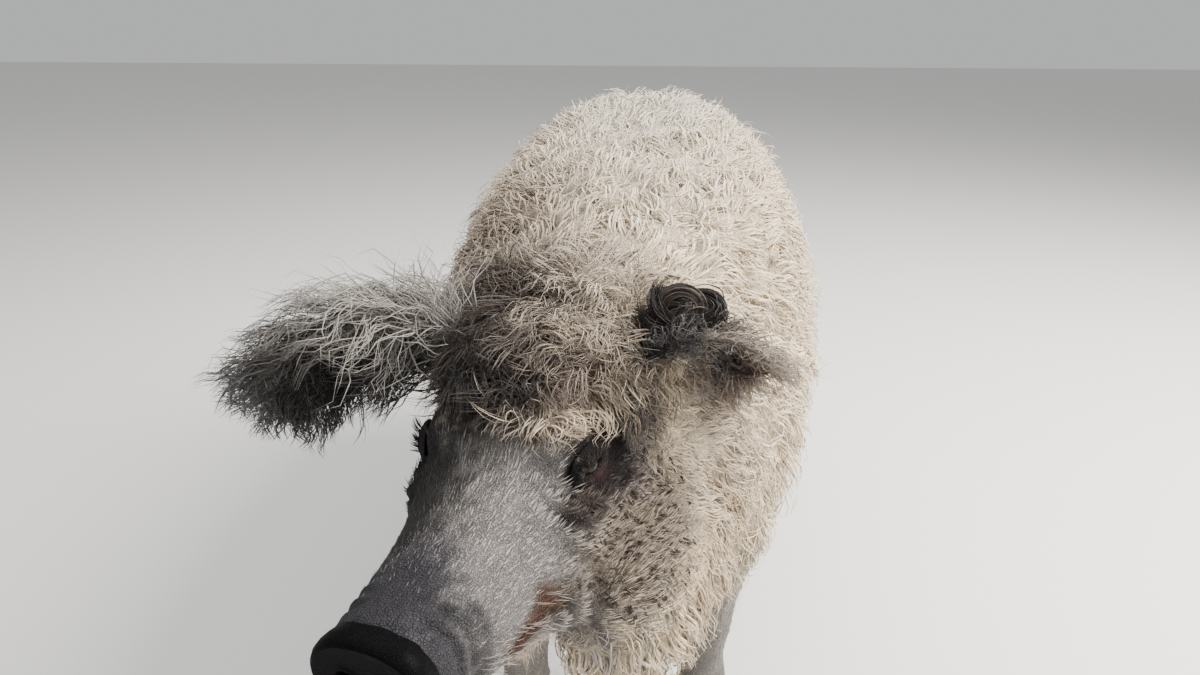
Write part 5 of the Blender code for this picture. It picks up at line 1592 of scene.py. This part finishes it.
outwards = (HEAD_FORWARD * 0.62 + HEAD_UP * 0.55 + HEAD_LEFT * 0.30).normalized()
level = (HEAD_LEFT - outwards * HEAD_LEFT.dot(outwards)).normalized()
raised = outwards.cross(level)
if raised.dot(HEAD_UP) < 0:
    raised = -raised
hair_locks("black_coil", on_head(0.017, 0.134, 0.129), (level, raised, outwards), COIL_LOCKS, 0.0016, 501)
hair_locks("brown_curl", on_head(-0.003, 0.191, 0.069), (level, raised, outwards), TIP_CURL, 0.0012, 502)

# The tail's tuft: coarse dark wavy hair on the lower half of the whip.
tuft_hair = fibre_material("tuft_hair", 1100.0, 0.35, 0.6, 0.0005, Specular_IOR_Level=0.35)
TUFT_FROM, TUFT_HAIRS = 0.42, 760
draw = np.random.default_rng(520)
path = np.array([list(middle) + [radius] for middle, radius in tail_rows])
share = TUFT_FROM + (1 - TUFT_FROM) * draw.random(TUFT_HAIRS) ** 0.8
station = share * (len(path) - 1.001)
low = station.astype(int)
slide = (station - low)[:, None]
on_path = path[low] * (1 - slide) + path[low + 1] * slide
along = unit(path[low + 1, :3] - path[low, :3])
around = draw.uniform(0, 2 * math.pi, TUFT_HAIRS)
sideways = np.tile(np.array(RIGHT), (TUFT_HAIRS, 1))
third = unit(np.cross(along, sideways))
out_of = sideways * np.cos(around)[:, None] + third * np.sin(around)[:, None]
at = on_path[:, :3] + out_of * (on_path[:, 3:] * 0.9)
spread = np.stack([around / (2 * math.pi), (share - TUFT_FROM) / (1 - TUFT_FROM)], axis=1) * 0.98 + 0.01
grey = draw.random((TUFT_HAIRS, 1)) < 0.25
tones = np.where(grey, (0.34, 0.30, 0.26), (0.090, 0.072, 0.060))
lies = along + draw.normal(0, 0.10, (TUFT_HAIRS, 3))
piece = strands("tail_tuft", at, out_of, lies, tones, lambda roots: spread, (0.085, 0.0022, 0.0013),
                math.radians(22), (0.0060, 1.3), 6, 521)
finish(piece, tuft_hair, "tuft")

# Lashes over each eye and a few stiff whiskers on lips and chin.
LASHES, LASH_LENGTH, LASH_PLACE, LASH_RISE = 70, 0.015, 1.28, 0.0136
for name, (middle, along, across, outward) in eyes.items():
    draw = np.random.default_rng(530 + SIDES[name])
    angle = draw.uniform(0.15, math.pi - 0.15, LASHES)
    at = np.array([
        middle + along * (LASH_PLACE * LID_OPENING[0] * math.cos(a))
        + across * (LASH_PLACE * LID_OPENING[1] * math.sin(a)) + outward * LASH_RISE for a in angle
    ])
    out_of = np.tile(np.array(outward), (LASHES, 1))
    lies = np.array([across + along * (0.7 * math.cos(a)) for a in angle])
    spread = np.stack([angle / math.pi, np.full(LASHES, 0.5)], axis=1) * 0.98 + 0.01
    piece = strands("lashes_" + name, at, out_of, lies, np.tile((0.022, 0.017, 0.016), (LASHES, 1)),
                    lambda roots: spread, (LASH_LENGTH, 0.0008, 0.0005), math.radians(50), (0.0006, 0.4), 4,
                    540 + SIDES[name], root_shade=0.9)
    finish(piece, tuft_hair, "tuft")

WHISKERS, LIPS_FROM, LIPS_TO = 260, 0.22, 0.345


def on_lips(points, normals, corners):
    measures = head_measures(points)
    low_down = falls(measures[:, 2], -0.015, 0.02)
    on_head_skin = hide_regions[corners[:, 0]] == ON_HEAD
    return on_head_skin * low_down * (measures[:, 0] > LIPS_FROM) * (measures[:, 0] < LIPS_TO)


roots = roots_on(hide, WHISKERS, on_lips, 551)
coat("whiskers", tuft_hair, "tuft", roots, 1, np.tile((0.28, 0.25, 0.225), (WHISKERS, 1)),
     face_lie(roots[0]) - 0.5 * np.array(HEAD_UP), head_spread, (0.020, 0.0007, 0.0005), math.radians(48),
     (0.0012, 0.4), 4, 552, root_shade=0.8)

# The stage: a pale floor, soft studio light and the camera.
bm = bmesh.new()
bmesh.ops.create_grid(bm, x_segments=1, y_segments=1, size=12)
floor = piece_of("floor", bm, False)
floor.data.materials.append(material_of("floor_paint", 0.8, Base_Color=(0.74, 0.73, 0.71, 1))[0])

world = bpy.data.worlds.new("studio")
world.use_nodes = True
Nodes(world.node_tree).fill(
    world.node_tree.nodes["Background"], {"Color": (0.93, 0.94, 0.95, 1), "Strength": 0.58},
)
bpy.context.scene.world = world


def look(made, place, way):
    """Puts a lamp or the camera at a place and turns it to look along a way."""
    made.location = place
    made.rotation_mode = "QUATERNION"
    made.rotation_quaternion = way.to_track_quat("-Z", "Y")


def lamp(name, place, aim, size, power, colour):
    light = bpy.data.lights.new(name, "AREA")
    light.size = size
    light.energy = power
    light.color = colour
    look(placed(name, light), place, Vector(aim) - Vector(place))


lamp("window", (2.6, 0.0, 2.7), (0.1, -0.2, 0.5), 2.0, 470, (1.0, 0.965, 0.915))
lamp("sky", (-0.2, 0.5, 3.4), (0.0, 0.0, 0.5), 3.0, 90, (0.97, 0.98, 1.0))
lamp("front", (-0.6, -3.4, 1.9), (0.0, -0.4, 0.5), 2.6, 30, (0.97, 0.98, 1.0))

# The camera stands where the photo was taken, with its width in pixels and its focal length in the same.
PHOTO_WIDTH, FOCAL_PIXELS, SENSOR = 1200, 960, 36.0
CAMERA_PLACE, CAMERA_YAW, CAMERA_PITCH = Vector((0.075, -1.409, 0.980)), math.radians(5), math.radians(20)
camera = placed("camera", bpy.data.cameras.new("camera"))
camera.data.sensor_width = SENSOR
camera.data.lens = SENSOR * FOCAL_PIXELS / PHOTO_WIDTH
camera.data.clip_start = 0.05
look(camera, STAND + CAMERA_PLACE, Vector((
    -math.sin(CAMERA_YAW) * math.cos(CAMERA_PITCH),
    math.cos(CAMERA_YAW) * math.cos(CAMERA_PITCH),
    -math.sin(CAMERA_PITCH),
)))
bpy.context.scene.camera = camera
